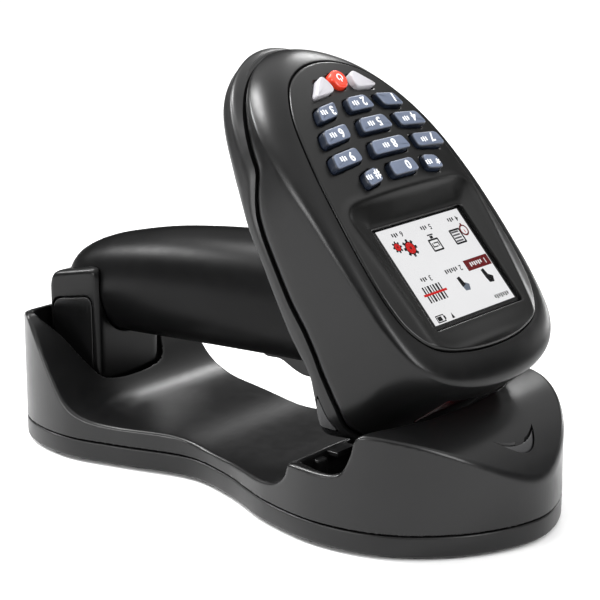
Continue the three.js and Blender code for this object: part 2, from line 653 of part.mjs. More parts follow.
function scanWindow() {
  const { width, height, u } = SCAN_WINDOW;
  return windowBox(width - 2 * GAP, height - 2 * GAP, u + 2, u + 3.8);
}

function nosePad(side) {
  const wedge = intoHead(sideways(roundedPolygon(NOSE_PAD, 1.2), ...span(side, 20, 60)));
  return wedge.intersect(lowerHead(0, 0, atSeam(-GAP / 2))).subtract(lowerHead(1.4, 1.4, atSeam(5)));
}

function rearShell(gripHole) {
  const outer = lowerHead(0, 0, atSeam(-GAP / 2));
  let shell = outer.subtract(lowerHead(WALL, WALL, atSeam(5)));
  const inWall = lowerHead(WALL / 2, WALL / 2, atSeam(-GAP / 2));
  const padSeat = roundedPolygon(offsetCorners(NOSE_PAD, 0.4), 1.5);
  for (const side of SIDES) {
    for (const [u, v, head] of HOUSING_SCREWS) {
      shell = shell.add(rod(7, u, side * v, -62, 0, 14).intersect(inWall));
      shell = shell.subtract(rod(2.8, u, side * v, -70, 0, 12));
      shell = shell.subtract(rod(5.4, u, side * v, -70, head, 16));
    }
    const wedge = intoHead(sideways(padSeat, ...span(side, 20, 60)));
    shell = shell.subtract(wedge.subtract(lowerHead(1.7, 1.7, atSeam(5))));
  }
  return shell.subtract(intoHead(gripHole));
}

function shellScrew(u, v, head) {
  return rod(4.8, u, v, head - 1.8, head - GAP, 16).add(rod(2, u, v, head - 1, -12.6, 10));
}

// ---------------------------------------------------------------- grip

const WHOLE = GRIP_STATIONS[0][0];

// Grip from firstX to its end in the head, drawn in by inset.
function gripBody(inset, firstX) {
  const rings = GRIP_STATIONS.filter(([x]) => x >= firstX).map(([x, z, halfWidth, halfHeight]) => {
    const ring = [];
    for (let i = 0; i < GRIP_SIDES; i += 1) {
      const angle = (i / GRIP_SIDES) * 2 * Math.PI;
      ring.push([x, (halfWidth - inset) * Math.cos(angle), z + (halfHeight - inset) * Math.sin(angle)]);
    }
    return ring;
  });
  const [x0, z0] = GRIP_STATIONS.find(([x]) => x >= firstX);
  const [x1, z1] = GRIP_STATIONS[GRIP_STATIONS.length - 1];
  return solid(loft(rings, [x0, 0, z0], [x1, 0, z1]));
}

// Bodies drawn in the upright frame, moved into the head's frame, and the other way round.
const headFrame = new THREE.Matrix4()
  .makeRotationY(THREE.MathUtils.degToRad(HEAD_TILT))
  .setPosition(...HEAD_ORIGIN);
function moved(body, matrix) {
  return solid(surface(body).applyMatrix4(matrix));
}
const intoHead = (body) => moved(body, headFrame.clone().invert());
const outOfHead = (body) => moved(body, headFrame);

function pivotBar(diameter, halfWidth, sides = 16) {
  const bar = new THREE.CylinderGeometry(diameter / 2, diameter / 2, 2 * halfWidth, sides);
  return solid(bar.translate(TRIGGER_PIVOT[0], 0, TRIGGER_PIVOT[1]));
}

function gripShell() {
  const outer = gripBody(0, WHOLE);
  const cap = outOfHead(sideways(polygon([...GRIP_CUT, [140, 80], [-40, 80]]), -60, 60));
  const slot = TRIGGER_WIDTH / 2 + 0.6;
  let grip = outer.subtract(gripBody(WALL, -95).add(box(42, 50, -15, 15, 50, 80)));
  for (const side of SIDES) {
    grip = grip.add(box(23, 31, ...span(side, slot, slot + 4), 44, 53).intersect(gripBody(0.6, WHOLE)));
  }
  grip = grip.subtract(box(-5, 32, -slot, slot, 30, 48)).subtract(box(20, 32, -slot, slot, 44, 56));
  return grip.subtract(pivotBar(2.8, slot + 3)).subtract(cap);
}

function gripFoot() {
  const { rear, front, halfWidth, bottom, rearTop, frontTop } = FOOT_BLOCK;
  const side = roundedPolygon([[rear, bottom], [front, bottom], [front, frontTop], [rear, rearTop]], 5);
  const plan = roundedPolygon(rectangle(front - rear, 2 * halfWidth, (front + rear) / 2, 0), 3.6);
  let foot = sideways(side, -halfWidth, halfWidth).intersect(upright(plan, 0, HIGH));
  const inner = roundedPolygon(rectangle(front - rear - 6, 2 * halfWidth - 6.4, (front + rear) / 2, 0), 2);
  foot = foot.subtract(upright(inner, bottom + 3.6, 50)).subtract(gripBody(-GAP, WHOLE));
  for (const end of SIDES) {
    const seat = roundedPolygon(rectangle(8.6, 6.6, CHARGE_PIN.x, end * CHARGE_PIN.y), 1);
    foot = foot.subtract(sideways(panelShape(0.35), ...span(end, halfWidth - 1.5, halfWidth + 14)));
    foot = foot.subtract(upright(seat, 0, bottom + CONTACT_DEPTH));
  }
  return foot;
}

function panelShape(grow) {
  return roundedPolygon(offsetCorners(FOOT_PANEL, grow), 4);
}

function footPanel(side) {
  const { halfWidth } = FOOT_BLOCK;
  return sideways(panelShape(0), ...span(side, halfWidth - 1.2, halfWidth));
}

function contactPad(side) {
  const plan = roundedPolygon(rectangle(8, 6, CHARGE_PIN.x, side * CHARGE_PIN.y), 1);
  return upright(plan, CHARGE_PIN.tip + GAP, FOOT_BLOCK.bottom + CONTACT_DEPTH - GAP);
}

function batteryCell() {
  const cell = new THREE.CylinderGeometry(CELL.diameter / 2, CELL.diameter / 2, CELL.length, 16);
  const [[x0, z0], [x1, z1]] = [GRIP_STATIONS[4], GRIP_STATIONS[8]];
  const slope = Math.atan2(z1 - z0, x1 - x0);
  return solid(cell.rotateZ(Math.PI / 2).rotateY(-slope).translate((x0 + x1) / 2 + 1, 0, (z0 + z1) / 2 + 1));
}

function trigger() {
  const blade = sideways(polygon(TRIGGER_PROFILE), -TRIGGER_WIDTH / 2, TRIGGER_WIDTH / 2);
  return blade.subtract(pivotBar(2.7, TRIGGER_WIDTH));
}

// ---------------------------------------------------------------- assembly

const assembly = new THREE.Group();
assembly.name = 'docked_data_collector';
const cradle = new THREE.Group();
const scanner = new THREE.Group();
const head = new THREE.Group();
head.position.set(...HEAD_ORIGIN);
head.rotation.y = THREE.MathUtils.degToRad(HEAD_TILT);
scanner.add(head);
assembly.add(cradle, scanner);

piece(cradle, 'cradle_base_pan', cradleBasePan(), blackCase);
piece(cradle, 'cradle_top_shell', cradleTopShell(), greyCase);
FOOT_PLACES.forEach(([x, y], i) => {
  piece(cradle, `cradle_foot_${i + 1}`, rod(FOOT_DIAMETER, x, y, 0, PAN_BOTTOM + 0.5, 16), rubber);
});
CASE_SCREW_PLACES.forEach((place, i) => piece(cradle, `cradle_screw_${i + 1}`, caseScrew(place), steel));
piece(cradle, 'charging_board', chargingBoard(), boardGreen);
piece(cradle, 'charge_pin_right', chargePin(-1), brass);
piece(cradle, 'charge_pin_left', chargePin(1), brass);
piece(cradle, 'power_inlet', powerInlet(), steel);
piece(cradle, 'status_lens', crescent(CRESCENT, 24, HIGH).intersect(underTop(0.5)), darkPlate);

piece(head, 'head_housing', headHousing(), blackCase);
piece(head, 'face_plate', facePlate(), darkPlate);
piece(head, 'rear_shell', rearShell(gripBody(-GAP, WHOLE)), greyCase);
piece(head, 'nose_pad_right', nosePad(-1), rubber);
piece(head, 'nose_pad_left', nosePad(1), rubber);
piece(head, 'screen_window', screenWindow(), glass);
piece(head, 'lcd_module', lcdModule(), screenWhite);
piece(head, 'keypad_membrane', keypadMembrane(), rubber);
for (const key of keyShapes()) piece(head, key.name, keyBody(key), key.material);
piece(head, 'main_board', mainBoard(), boardGreen);
piece(head, 'buzzer', rod(10, -2, 12, -14.6, -11.2 - GAP, 20), blackCase);
piece(head, 'scan_engine', scanEngine(), blackCase);
piece(head, 'scan_window', scanWindow(), windowRed);
HOUSING_SCREWS.forEach(([u, v, depth], i) => {
  piece(head, `shell_screw_${2 * i + 1}`, shellScrew(u, -v, depth), steel);
  piece(head, `shell_screw_${2 * i + 2}`, shellScrew(u, v, depth), steel);
});

piece(scanner, 'grip_shell', gripShell(), blackCase);
piece(scanner, 'grip_foot', gripFoot(), blackCase);
piece(scanner, 'foot_panel_right', footPanel(-1), blackCase);
piece(scanner, 'foot_panel_left', footPanel(1), blackCase);
piece(scanner, 'contact_pad_right', contactPad(-1), brass);
piece(scanner, 'contact_pad_left', contactPad(1), brass);
piece(scanner, 'battery_cell', batteryCell(), cellBlue);
piece(scanner, 'trigger', trigger(), blackCase);
piece(scanner, 'trigger_pin', pivotBar(2, TRIGGER_WIDTH / 2 + 3), steel);
piece(scanner, 'trigger_switch', box(-2, 8, -3, 3, 48.6, 54), blackCase);

export default assembly;
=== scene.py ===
"""Looks of the handheld data collector in its charging cradle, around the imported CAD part.

Lengths are in millimetres until a mesh is made. Axes and origin are those of the CAD part.
"""

import json
import math

import bpy
import numpy as np
from mathutils import Matrix, Vector


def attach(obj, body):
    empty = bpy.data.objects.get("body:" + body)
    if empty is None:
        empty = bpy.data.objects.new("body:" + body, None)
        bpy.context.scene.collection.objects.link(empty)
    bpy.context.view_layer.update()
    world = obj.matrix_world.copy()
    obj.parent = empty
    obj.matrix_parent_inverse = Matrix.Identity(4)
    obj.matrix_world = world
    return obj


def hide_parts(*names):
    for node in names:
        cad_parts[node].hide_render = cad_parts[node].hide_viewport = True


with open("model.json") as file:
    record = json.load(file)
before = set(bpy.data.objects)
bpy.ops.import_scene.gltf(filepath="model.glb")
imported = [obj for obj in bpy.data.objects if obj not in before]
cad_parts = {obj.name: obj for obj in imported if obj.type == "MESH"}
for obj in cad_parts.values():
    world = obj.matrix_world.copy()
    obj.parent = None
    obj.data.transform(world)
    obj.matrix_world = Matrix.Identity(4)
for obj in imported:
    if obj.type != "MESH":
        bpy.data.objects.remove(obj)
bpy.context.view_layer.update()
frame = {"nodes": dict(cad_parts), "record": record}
MM = 0.001
GAP = 0.3
WALL = 2.4
SIDES = (-1, 1)
WORDS = ((-1, "right"), (1, "left"))

# ---- dimensions

CRADLE_HALF_PLAN = [
    (-105, 0), (-103.8, 14), (-99, 27), (-88, 35), (-68, 39.2), (-46, 35), (-19, 28.5),
    (2, 33.3), (28, 44.2), (53, 48.6), (76, 43.7), (92.4, 30.6), (101.8, 14.8), (105, 0),
]
CRADLE_TOP = [
    (-106, 43), (-98, 46.3), (-91, 47.3), (-88.2, 45.4), (-82.1, 38.6), (-74.6, 28.4), (-67, 19.3),
    (-57.5, 15.6), (-26, 14.8), (-9.4, 13.2), (13.3, 13.8), (27.5, 14.8), (33.2, 16.4), (37.4, 19.8),
    (39.3, 24.2), (41, 24.7), (57.5, 25), (61, 26.6), (64.2, 33), (65.4, 37.4), (67.2, 39.2),
    (72, 39.7), (83.3, 37.8), (93.7, 33), (100.5, 27.1), (106, 19.6),
]
PAN_BOTTOM, PAN_TOP, PAN_FLOOR = 1.0, 8.0, 3.0
SHELL_BOTTOM = PAN_TOP + GAP
CRADLE_EDGE, POCKET_RIM, SOCKET_RIM = 1.2, 1.0, 0.9
PAN_EDGE = 0.6
POCKET_FLOOR = 11.0
POCKET_HALF_PLAN = [
    (-101.6, 0), (-100.4, 14), (-96, 25.5), (-90.3, 29.5), (-83, 24.5), (-76.5, 20), (-72.2, 16),
    (-70.7, 9), (-70.4, 0),
]
SOCKET_FLOOR = 12.0
SOCKET_REAR = 41.5
SOCKET_HALF_PLAN = [
    (SOCKET_REAR, 43.4), (53, 46.2), (63, 45), (66.8, 43.4), (70.5, 35), (74.4, 20), (75.4, 0),
]
SOCKET_GUARD = [(47, 24.7), (52, 28), (56, 31.5), (60, 34), (64, 36.8), (66.5, 38.4)]
GUARD_INSIDE = 36
SOCKET_TAB = (SOCKET_REAR - 2, 19, 22.6), (45.5, 29, 24.4)
SOCKET_LEDGE = (SOCKET_REAR - 2, 37, 9), (62, 60, 17.5)
RIB_X, RIB_Y, RIB_RADIUS, RIB_TOP = SOCKET_REAR + 0.8, 34, 2.5, 23.4
FOOT_PLACES = [(-84, -22), (-84, 22), (58, -34), (58, 34)]
FOOT_SEAT_RADIUS = 6.4
CASE_SCREW_PLACES = [(-58, -28), (-58, 28), (84, -26), (84, 26)]
BOSS_RADIUS, SCREW_HOLE_RADIUS, SCREW_SEAT = 4, 1.7, 3.2
INLET_NOTCH = (-110, -96, -5.2, 5.2, 5.1, 9)
CHARGE_PIN = (-84, 6)
PIN_HOLE = [(1.55, 20), (2.7, 9.7)]
LENS_TIP_X, LENS_HALF, LENS_OUTER, LENS_INNER = 93.2, 10.5, 104.4, 98.6
LENS_SUNK, LENS_BOTTOM = 0.45, 24

HEAD_TILT = math.radians(48)
HEAD_ORIGIN = (35.83, 0, 125.92)
HEAD_HALF_PLAN = [
    (-39.6, 0), (-38, 10), (-33, 20), (-24.8, 28.6), (-10, 37), (8, 41.5), (28, 43), (48, 43),
    (65, 41.8), (78, 38), (86, 30), (91, 17.5), (93, 0),
]
SKIRT_HALF_PLAN = [
    (-43.6, 0), (-42, 10), (-37, 20), (-28.4, 29.2), (-12, 37.4), (7, 41.8), (28, 43.2), (48, 43.2),
    (65, 42), (78, 38.2), (86, 30.2), (91, 17.7), (93, 0),
]
PLATE_HALF_PLAN = [
    (-28, 0), (-26.8, 9), (-22.5, 18), (-16.5, 24), (-7, 29.7), (6.5, 33.8), (21, 36), (41, 37.4),
    (58, 37), (68, 34.4), (76, 28), (80.4, 15.5), (81.8, 0),
]
HEAD_SHOULDER = [(-42, -14), (-20, -13.2), (0, -11), (25, -9.4), (93, -9)]
HEAD_SEAM = [
    (-42, -15), (-20, -17.4), (-1, -18.5), (5, -23.5), (10, -26.4), (17, -28.5), (39, -33.3), (48, -34.4),
    (56.5, -36.3), (70, -41), (76, -43.4), (82.5, -48.3), (94, -51),
]
SKIRT_CORNER = [
    (-44, -25.6), (-30, -26.2), (-10, -27.9), (0, -29.8), (13, -32.8), (24, -34.9), (37, -38.2), (47, -40.8),
    (56, -41.9), (62, -43.2), (70, -48.5), (78.7, -55.4), (80.5, -55.8), (82.2, -55), (84, -53), (94, -53.2),
]
HEAD_UNDERSIDE = [
    (-44, -26.5), (-36, -29), (-28, -31.5), (-10, -33.5), (0, -35), (12, -38), (23, -40.5), (36, -43.5),
    (46, -45.6), (57, -47), (62, -47.8), (70, -51), (78.7, -56.4), (80.5, -56.8), (83, -55.8), (86, -54.4),
    (94, -54.6),
]
HOUSING_CURL = [(1.5, 0.03), (1.0, 0.5), (0.6, 1.1), (0.3, 1.8), (0.1, 2.7), (0, 3.8)]
NOSE_LEAN = 0.1
WINDOW_U, WINDOW_W, WINDOW_WIDTH, WINDOW_HEIGHT = 85, -27, 40, 17
WINDOW_SPAN, RIM_SPAN, RIM_WIDTH = (87, 88.8), (81.5, 87.6), 2.5
SCREW_WELL_RADIUS = 2.7
HOUSING_SCREWS = [(-22, 25.4, -26), (62, 36.4, -42.4)]
NOSE_PAD = [(46.9, 46.4), (43.6, 36.6), (50.6, 34.6)]

SCREEN_U, SCREEN_LENGTH, SCREEN_WIDTH, SCREEN_DEPTH = 52.3, 37, 48.4, -4.6
DISH_REAR, DISH_FRONT = (24.2, 34.6), (79.5, 27)
DISH_FOOT_CORNER, DISH_BRIM_CORNER = 2.2, 9
BRIM_BEAD, BRIM_WIDTH = 0.4, 1.5
PLATE_EDGE, WINDOW_HOLE_EDGE, KEY_HOLE_EDGE = 0.7, 0.45, 0.25
PLATE_THICK = 2.2
BEZEL_ENDS, BEZEL_INSET, BEZEL_BOTTOM = (26, 78), 3.8, -6.4
LCD_BOTTOM, LCD_TOP, LCD_BODY = -8.2, -6.0, (-9.6, -7.4)
GLASS_SPAN = (-5.7, -4.9)
LIT_THICK, LAYER = 0.04, 0.03
LIT_AREA = (35, 44.4, 51.6, 0.6)
LETTER_STEP, LETTER_WIDTH, LETTER_TALL, LETTER_LOW = 1.15, 0.62, 1.5, 1.15

KEY_ROWS = [
    (("3", "2", "1"), (-10.4, -5), (4.8, 6.6), (10.6, 12.2), (20, 22.2)),
    (("6", "5", "4"), (-1.9, 3.6), (6.4, 8.2), (12.6, 13.2), (24.8, 26.6)),
    (("9", "8", "7"), (6.9, 12.2), (8.3, 9.8), (14.9, 14.6), (27.8, 29)),
    (("hash", "0", "star"), (15.3, 20.6), (6.2, 6.9), (12.6, 11.8), (19.4, 20)),
]
KEY_SWEEP, KEY_CORNER, KEY_PROUD, KEY_FOOT, KEY_CLEARANCE = 1.2, 1.9, 2.2, -2.7, 0.35
KEY_EDGE, WHITE_KEY_EDGE, SIGN_SIZE, SIGN_LIFT = 0.85, 0.5, 4.5, 0.06
POWER_U, POWER_RADIUS = -18.2, 3.5
POWER_SIGN_RADII, POWER_SIGN_TURN = (1.35, 0.95), math.radians(145)
SIDE_KEY_CORNERS, SIDE_KEY_CORNER = [(-21.3, 7.6), (-14.1, 4.9), (-13.2, 16.6)], 3.2

GRIP_STATIONS = [
    (-98, 52, 3, 4), (-97, 52.2, 6.2, 7.4), (-94, 52.8, 9.4, 11.8), (-87.5, 53.9, 12, 15),
    (-77, 55.6, 13.6, 17.6), (-64, 57.6, 15, 19.1), (-50, 59.5, 16.2, 20.2), (-35, 61, 17, 20.9),
    (-20, 62.2, 17.6, 21.3), (0, 63.4, 18, 21.6), (44, 65, 18.4, 21.8),
]
GRIP_CUT = [(-40, -20), (15, -34.5), (66, -46.5), (140, -62)]
FOOT_REAR, FOOT_FRONT, FOOT_HALF, FOOT_BOTTOM = -98.6, -72, 16, POCKET_FLOOR + GAP
FOOT_REAR_TOP, FOOT_FRONT_TOP = 58.6, 64.4
FOOT_PANEL = [(-95.4, 14.5), (-76, 14.5), (-76, 52.6), (-95.4, 49)]
PANEL_SEAT_DEPTH = 1.5
CONTACT_HALF, CONTACT_DEPTH = (4.3, 3.3), 2.6
FOOT_SIDE_CORNER, FOOT_PLAN_CORNER, FOOT_EDGE = 6.5, 3.6, 2.4
TRIGGER_HALF = 6.0
TRIGGER_SLOT = [(-5, 30, 50.5), (20, 44, 56)]
TRIGGER_PROFILE = [
    (-4, 44.8), (-4, 42.4), (3, 42.1), (8.5, 39.7), (13, 38.3), (18, 38.5), (24, 39.9), (29.4, 43.4),
    (30.4, 48), (29.6, 51.8), (26, 53), (23.4, 50.5), (22.4, 45.2),
]

# ---- curves and outlines


def curve_point(a, b, c, d, before, here, after, t):
    """Point at share t of the way from b to c, on a smooth curve with these distances between its knots."""
    m1 = ((b - a) / before - (c - a) / (before + here) + (c - b) / here) * here
    m2 = ((c - b) / here - (d - b) / (here + after) + (d - c) / after) * here
    return (
        b * (2 * t**3 - 3 * t**2 + 1) + m1 * (t**3 - 2 * t**2 + t)
        + c * (3 * t**2 - 2 * t**3) + m2 * (t**3 - t**2)
    )


def spline(points, closed, count):
    """Centripetal curve through points, with its result at even distances."""
    p = np.array(points, float)
    pieces = len(p) if closed else len(p) - 1
    if closed:
        p = np.vstack([p[-1], p, p[0], p[1]])
    else:
        p = np.vstack([2 * p[0] - p[1], p, 2 * p[-1] - p[-2]])
    t = np.linspace(0, 1, 24, endpoint=False)[:, None]
    gaps = [math.sqrt(max(np.linalg.norm(step), 1e-6)) for step in np.diff(p, axis=0)]
    dense = [curve_point(*p[i:i + 4], *gaps[i:i + 3], t) for i in range(pieces)]
    dense = np.vstack([*dense, p[pieces + 1]])
    length = np.concatenate([[0], np.cumsum(np.linalg.norm(np.diff(dense, axis=0), axis=1))])
    places = np.linspace(0, length[-1], count, endpoint=not closed)
    return np.stack([np.interp(places, length, dense[:, k]) for k in range(dense.shape[1])], 1)


def mirrored(half, count):
    back = [(x, -y) for x, y in reversed(half) if y > 0]
    return spline([*half, *back], True, count)


def smooth_table(table, sigma):
    """Function through a table of (place, value), with its corners eased over about sigma."""
    step = 0.25
    places, values = np.array(table, float).T
    x = np.arange(places[0] - 5 * sigma, places[-1] + 5 * sigma, step)
    y = np.interp(x, places, values)
    half = int(4 * sigma / step)
    kernel = np.exp(-0.5 * (np.arange(-half, half + 1) * step / sigma) ** 2)
    y = np.convolve(np.pad(y, half, mode="edge"), kernel / kernel.sum(), mode="valid")
    return lambda at: np.interp(at, x, y)


def inward(points, distance):
    """Closed outline moved inwards, square to itself."""
    p = np.array(points, float)
    before, after = np.roll(p, 1, 0), np.roll(p, -1, 0)
    along = after - before
    along /= np.linalg.norm(along, axis=1)[:, None]
    area = np.sum(p[:, 0] * after[:, 1] - after[:, 0] * p[:, 1])
    turn = 1 if area > 0 else -1
    return p + distance * turn * np.stack([-along[:, 1], along[:, 0]], 1)


def bow(start, middle, end, t):
    """Point at share t of a curve that leaves start towards middle and arrives at end from it."""
    return (1 - t) ** 2 * start + 2 * t * (1 - t) * middle + t**2 * end


def rounded(points, radius, steps=8):
    """Closed polygon with rounded corners and filled-in sides."""
    p = np.array(points, float)
    out = []
    for i, corner in enumerate(p):
        before, after = p[i - 1], p[(i + 1) % len(p)]
        start = corner + (before - corner) / np.linalg.norm(before - corner) * radius
        end = corner + (after - corner) / np.linalg.norm(after - corner) * radius
        out += [bow(start, corner, end, t) for t in np.linspace(0, 1, steps + 1)]
        far = after + (corner - after) / np.linalg.norm(corner - after) * radius
        out += [end + (far - end) * t for t in (0.25, 0.5, 0.75)]
    return np.array(out)


def grown(points, distance):
    """Convex polygon with every side moved outwards."""
    p = np.array(points, float)
    after = np.roll(p, -1, 0)
    turn = 1 if np.sum(p[:, 0] * after[:, 1] - after[:, 0] * p[:, 1]) > 0 else -1
    edge = after - p
    edge /= np.linalg.norm(edge, axis=1)[:, None]
    normal = np.stack([edge[:, 1], -edge[:, 0]], 1) * turn
    total = normal + np.roll(normal, 1, 0)
    return p + total * (2 * distance / np.sum(total**2, 1))[:, None]


def rectangle(length, width, x=0.0, y=0.0):
    a, b = length / 2, width / 2
    return [(x - a, y - b), (x + a, y - b), (x + a, y + b), (x - a, y + b)]


def full_turn(count):
    return np.linspace(0, 2 * math.pi, count, endpoint=False)


def circle(radius, x=0.0, y=0.0, count=48):
    a = full_turn(count)
    return np.stack([x + radius * np.cos(a), y + radius * np.sin(a)], 1)


# ---- distance fields


class Field:
    """Signed distance to a closed outline, negative inside, looked up on a fine grid."""

    def __init__(self, points, spacing=0.5, pad=5.0):
        p = np.array(points, float)
        self.low, self.spacing = p.min(0) - pad, spacing
        count = np.ceil((p.max(0) + pad - self.low) / spacing).astype(int) + 1
        x = self.low[0] + spacing * np.arange(count[0])[:, None]
        y = self.low[1] + spacing * np.arange(count[1])[None, :]
        best = np.full(count, 1e12)
        inside = np.zeros(count, bool)
        for a, b in zip(p, np.roll(p, -1, 0)):
            d = b - a
            if d @ d < 1e-12:
                continue
            ax, ay = x - a[0], y - a[1]
            t = np.clip((ax * d[0] + ay * d[1]) / (d @ d), 0, 1)
            best = np.minimum(best, (ax - t * d[0]) ** 2 + (ay - t * d[1]) ** 2)
            if abs(d[1]) > 1e-12:
                inside ^= ((a[1] > y) != (b[1] > y)) & (x < d[0] * (y - a[1]) / d[1] + a[0])
        self.values = np.sqrt(best) * np.where(inside, -1, 1)

    def __call__(self, x, y):
        count = self.values.shape
        fx = np.clip((x - self.low[0]) / self.spacing, 0, count[0] - 1.001)
        fy = np.clip((y - self.low[1]) / self.spacing, 0, count[1] - 1.001)
        i, j = fx.astype(int), fy.astype(int)
        s, t = fx - i, fy - j
        v = self.values
        lower = v[i, j] * (1 - s) + v[i + 1, j] * s
        upper = v[i, j + 1] * (1 - s) + v[i + 1, j + 1] * s
        return lower * (1 - t) + upper * t


def both(a, b, radius):
    """Overlap of two fields, with its outer edge rounded."""
    past_edge = np.hypot(np.maximum(a + radius, 0), np.maximum(b + radius, 0))
    return np.minimum(-radius, np.maximum(a, b)) + past_edge


def either(a, b, radius):
    """Union of two fields, with its inner corner rounded."""
    return -both(-a, -b, radius)


def block(x, y, z, low, high):
    parts = [np.maximum(low[k] - c, c - high[k]) for k, c in enumerate((x, y, z))]
    return np.maximum(np.maximum(parts[0], parts[1]), parts[2])


def gradient(field, points, reach):
    return np.stack([
        field(*(points + d).T) - field(*(points - d).T) for d in np.eye(3) * reach
    ], 1) / (2 * reach)


def slopes(field, points):
    """Unit gradient of a field."""
    g = gradient(field, points, 0.15)
    return g / np.maximum(np.linalg.norm(g, axis=1), 1e-9)[:, None]


def skin(field, low, high, step):
    """Points, quads and normals of the zero surface of a field."""
    axes = [np.arange(a - 2 * step, b + 3 * step, step) for a, b in zip(low, high)]
    x, y, z = axes[0][:, None, None], axes[1][None, :, None], axes[2][None, None, :]
    s = np.broadcast_to(field(x, y, z), [len(a) for a in axes]).astype(np.float32)
    cells = [n - 1 for n in s.shape]
    quads, crossings = [], []
    for axis in range(3):
        a = np.moveaxis(np.moveaxis(s, axis, 0)[:-1], 0, axis)
        b = np.moveaxis(np.moveaxis(s, axis, 0)[1:], 0, axis)
        crossing = (a < 0) != (b < 0)
        index = np.argwhere(crossing)
        start, end = a[crossing], b[crossing]
        point = index.astype(float)
        point[:, axis] += start / (start - end)
        around = []
        for d1, d2 in ((0, 0), (-1, 0), (-1, -1), (0, -1)):
            cell = index.copy()
            cell[:, (axis + 1) % 3] += d1
            cell[:, (axis + 2) % 3] += d2
            around.append(np.ravel_multi_index(cell.T, cells))
        around = np.stack(around, 1)
        around[start >= 0] = around[start >= 0][:, ::-1]
        quads.append(around)
        crossings.append(np.repeat(point, 4, 0))
    # every quad names the four cells round one crossed edge, in the same order as its crossings
    inverse = np.unique(np.vstack(quads), return_inverse=True)[1].reshape(-1)
    crossings = np.vstack(crossings)
    v = np.stack([np.bincount(inverse, weights=crossings[:, k]) for k in range(3)], 1)
    v = v / np.bincount(inverse)[:, None] * step + np.array([a[0] for a in axes])
    # then they are pulled onto the surface, by less than half a cell at a time
    for _ in range(4):
        g = gradient(field, v, 0.06)
        move = -g * (field(*v.T) / np.maximum(np.sum(g**2, 1), 0.05))[:, None]
        size = np.linalg.norm(move, axis=1)
        move *= np.minimum(1, 0.4 * step / np.maximum(size, 1e-9))[:, None]
        v += move
    return v, inverse.reshape(-1, 4), slopes(field, v)


# ---- meshes

c48, s48 = math.cos(HEAD_TILT), math.sin(HEAD_TILT)
UPRIGHT = Matrix.Identity(4)
HEAD = Matrix((
    (c48, 0, s48, HEAD_ORIGIN[0]),
    (0, 1, 0, HEAD_ORIGIN[1]),
    (-s48, 0, c48, HEAD_ORIGIN[2]),
    (0, 0, 0, 1),
))


def placed(points, place):
    m = np.array(place)
    return (np.array(points, float) @ m[:3, :3].T + m[:3, 3]) * MM


def linked(name, data):
    obj = bpy.data.objects.new(name, data)
    bpy.context.scene.collection.objects.link(obj)
    return obj


def evaluated(obj):
    """Mesh of an object with its modifiers applied, or of a text as it shows."""
    bpy.context.view_layer.update()
    return bpy.data.meshes.new_from_object(obj.evaluated_get(bpy.context.evaluated_depsgraph_get()))


def smooth_all(mesh):
    mesh.polygons.foreach_set("use_smooth", [True] * len(mesh.polygons))


def resharpen(obj, degrees=38):
    """Shade an object smooth, except over edges that turn by more than some degrees."""
    smooth_all(obj.data)
    obj.data.set_sharp_from_angle(angle=math.radians(degrees))
    return obj


def make(name, points, faces, place=UPRIGHT, normals=None):
    mesh = bpy.data.meshes.new(name)
    mesh.from_pydata(placed(points, place).tolist(), [], [list(f) for f in faces])
    mesh.update()
    obj = linked(name, mesh)
    if normals is None:
        return resharpen(obj)
    smooth_all(mesh)
    mesh.normals_split_custom_set_from_vertices((normals @ np.array(place)[:3, :3].T).tolist())
    return obj


def net(rings, looped=False):
    """Faces over a stack of rings with equal counts: capped at both ends, or looped back to the first."""
    rings = [np.array(r, float) for r in rings]
    count, stack = len(rings[0]), len(rings)
    points = np.vstack(rings)
    sides = [(i, (i + 1) % count) for i in range(count)]
    starts = [(r * count, (r + 1) % stack * count) for r in range(stack if looped else stack - 1)]
    faces = [(a + i, a + j, b + j, b + i) for a, b in starts for i, j in sides]
    if not looped:
        points = np.vstack([points, rings[0].mean(0), rings[-1].mean(0)])
        n = stack * count
        for i, j in sides:
            faces += [(n, j, i), (n + 1, n - count + i, n - count + j)]
    corners = points[np.array([(f[0], f[k], f[k + 1]) for f in faces for k in range(1, len(f) - 1)])]
    if np.sum(corners[:, 0] * np.cross(corners[:, 1], corners[:, 2])) < 0:
        faces = [tuple(reversed(f)) for f in faces]
    return points, faces


def through(rings, steps):
    """More rings on smooth curves through the given ones."""
    k = [np.array(r, float) for r in rings]
    gaps = [math.sqrt(max(np.mean(np.linalg.norm(b - a, axis=1)), 1e-6)) for a, b in zip(k, k[1:])]
    k = [2 * k[0] - k[1], *k, 2 * k[-1] - k[-2]]
    gaps = [gaps[0], *gaps, gaps[-1]]
    shares = np.linspace(0, 1, steps, endpoint=False)
    return [*(curve_point(*k[i:i + 4], *gaps[i:i + 3], t) for i in range(len(k) - 3) for t in shares), k[-2]]


def level(outline, height):
    return np.column_stack([outline, np.full(len(outline), height)])


def pillow(outline, z0, z1, low_radius, high_radius, steps=5):
    """Rings of a prism with rounded lower and upper edges."""
    def edge(radius, z, inside):
        if not radius:
            return [level(outline, z)]
        rings = [level(inward(outline, radius + 0.12), z)]
        for a in np.linspace(0, math.pi / 2, steps + 1):
            drawn_in, away = radius * (1 - math.sin(a)), radius * (1 - math.cos(a))
            rings.append(level(inward(outline, drawn_in), z + inside * away))
        return rings

    return [*edge(low_radius, z0, 1), *reversed(edge(high_radius, z1, -1))]


def on_side(rings):
    """Rings drawn in XZ and stacked along Y, from ones drawn in XY and stacked along Z."""
    return [r[:, [0, 2, 1]] for r in rings]


def prism(outline, z0, z1, place=UPRIGHT, name="tool"):
    return make(name, *net([level(outline, z0), level(outline, z1)]), place)


def side_prism(outline, y0, y1, place=UPRIGHT):
    """Tool drawn in XZ and stretched along Y."""
    return make("tool", *net(on_side([level(outline, y) for y in (y0, y1)])), place)


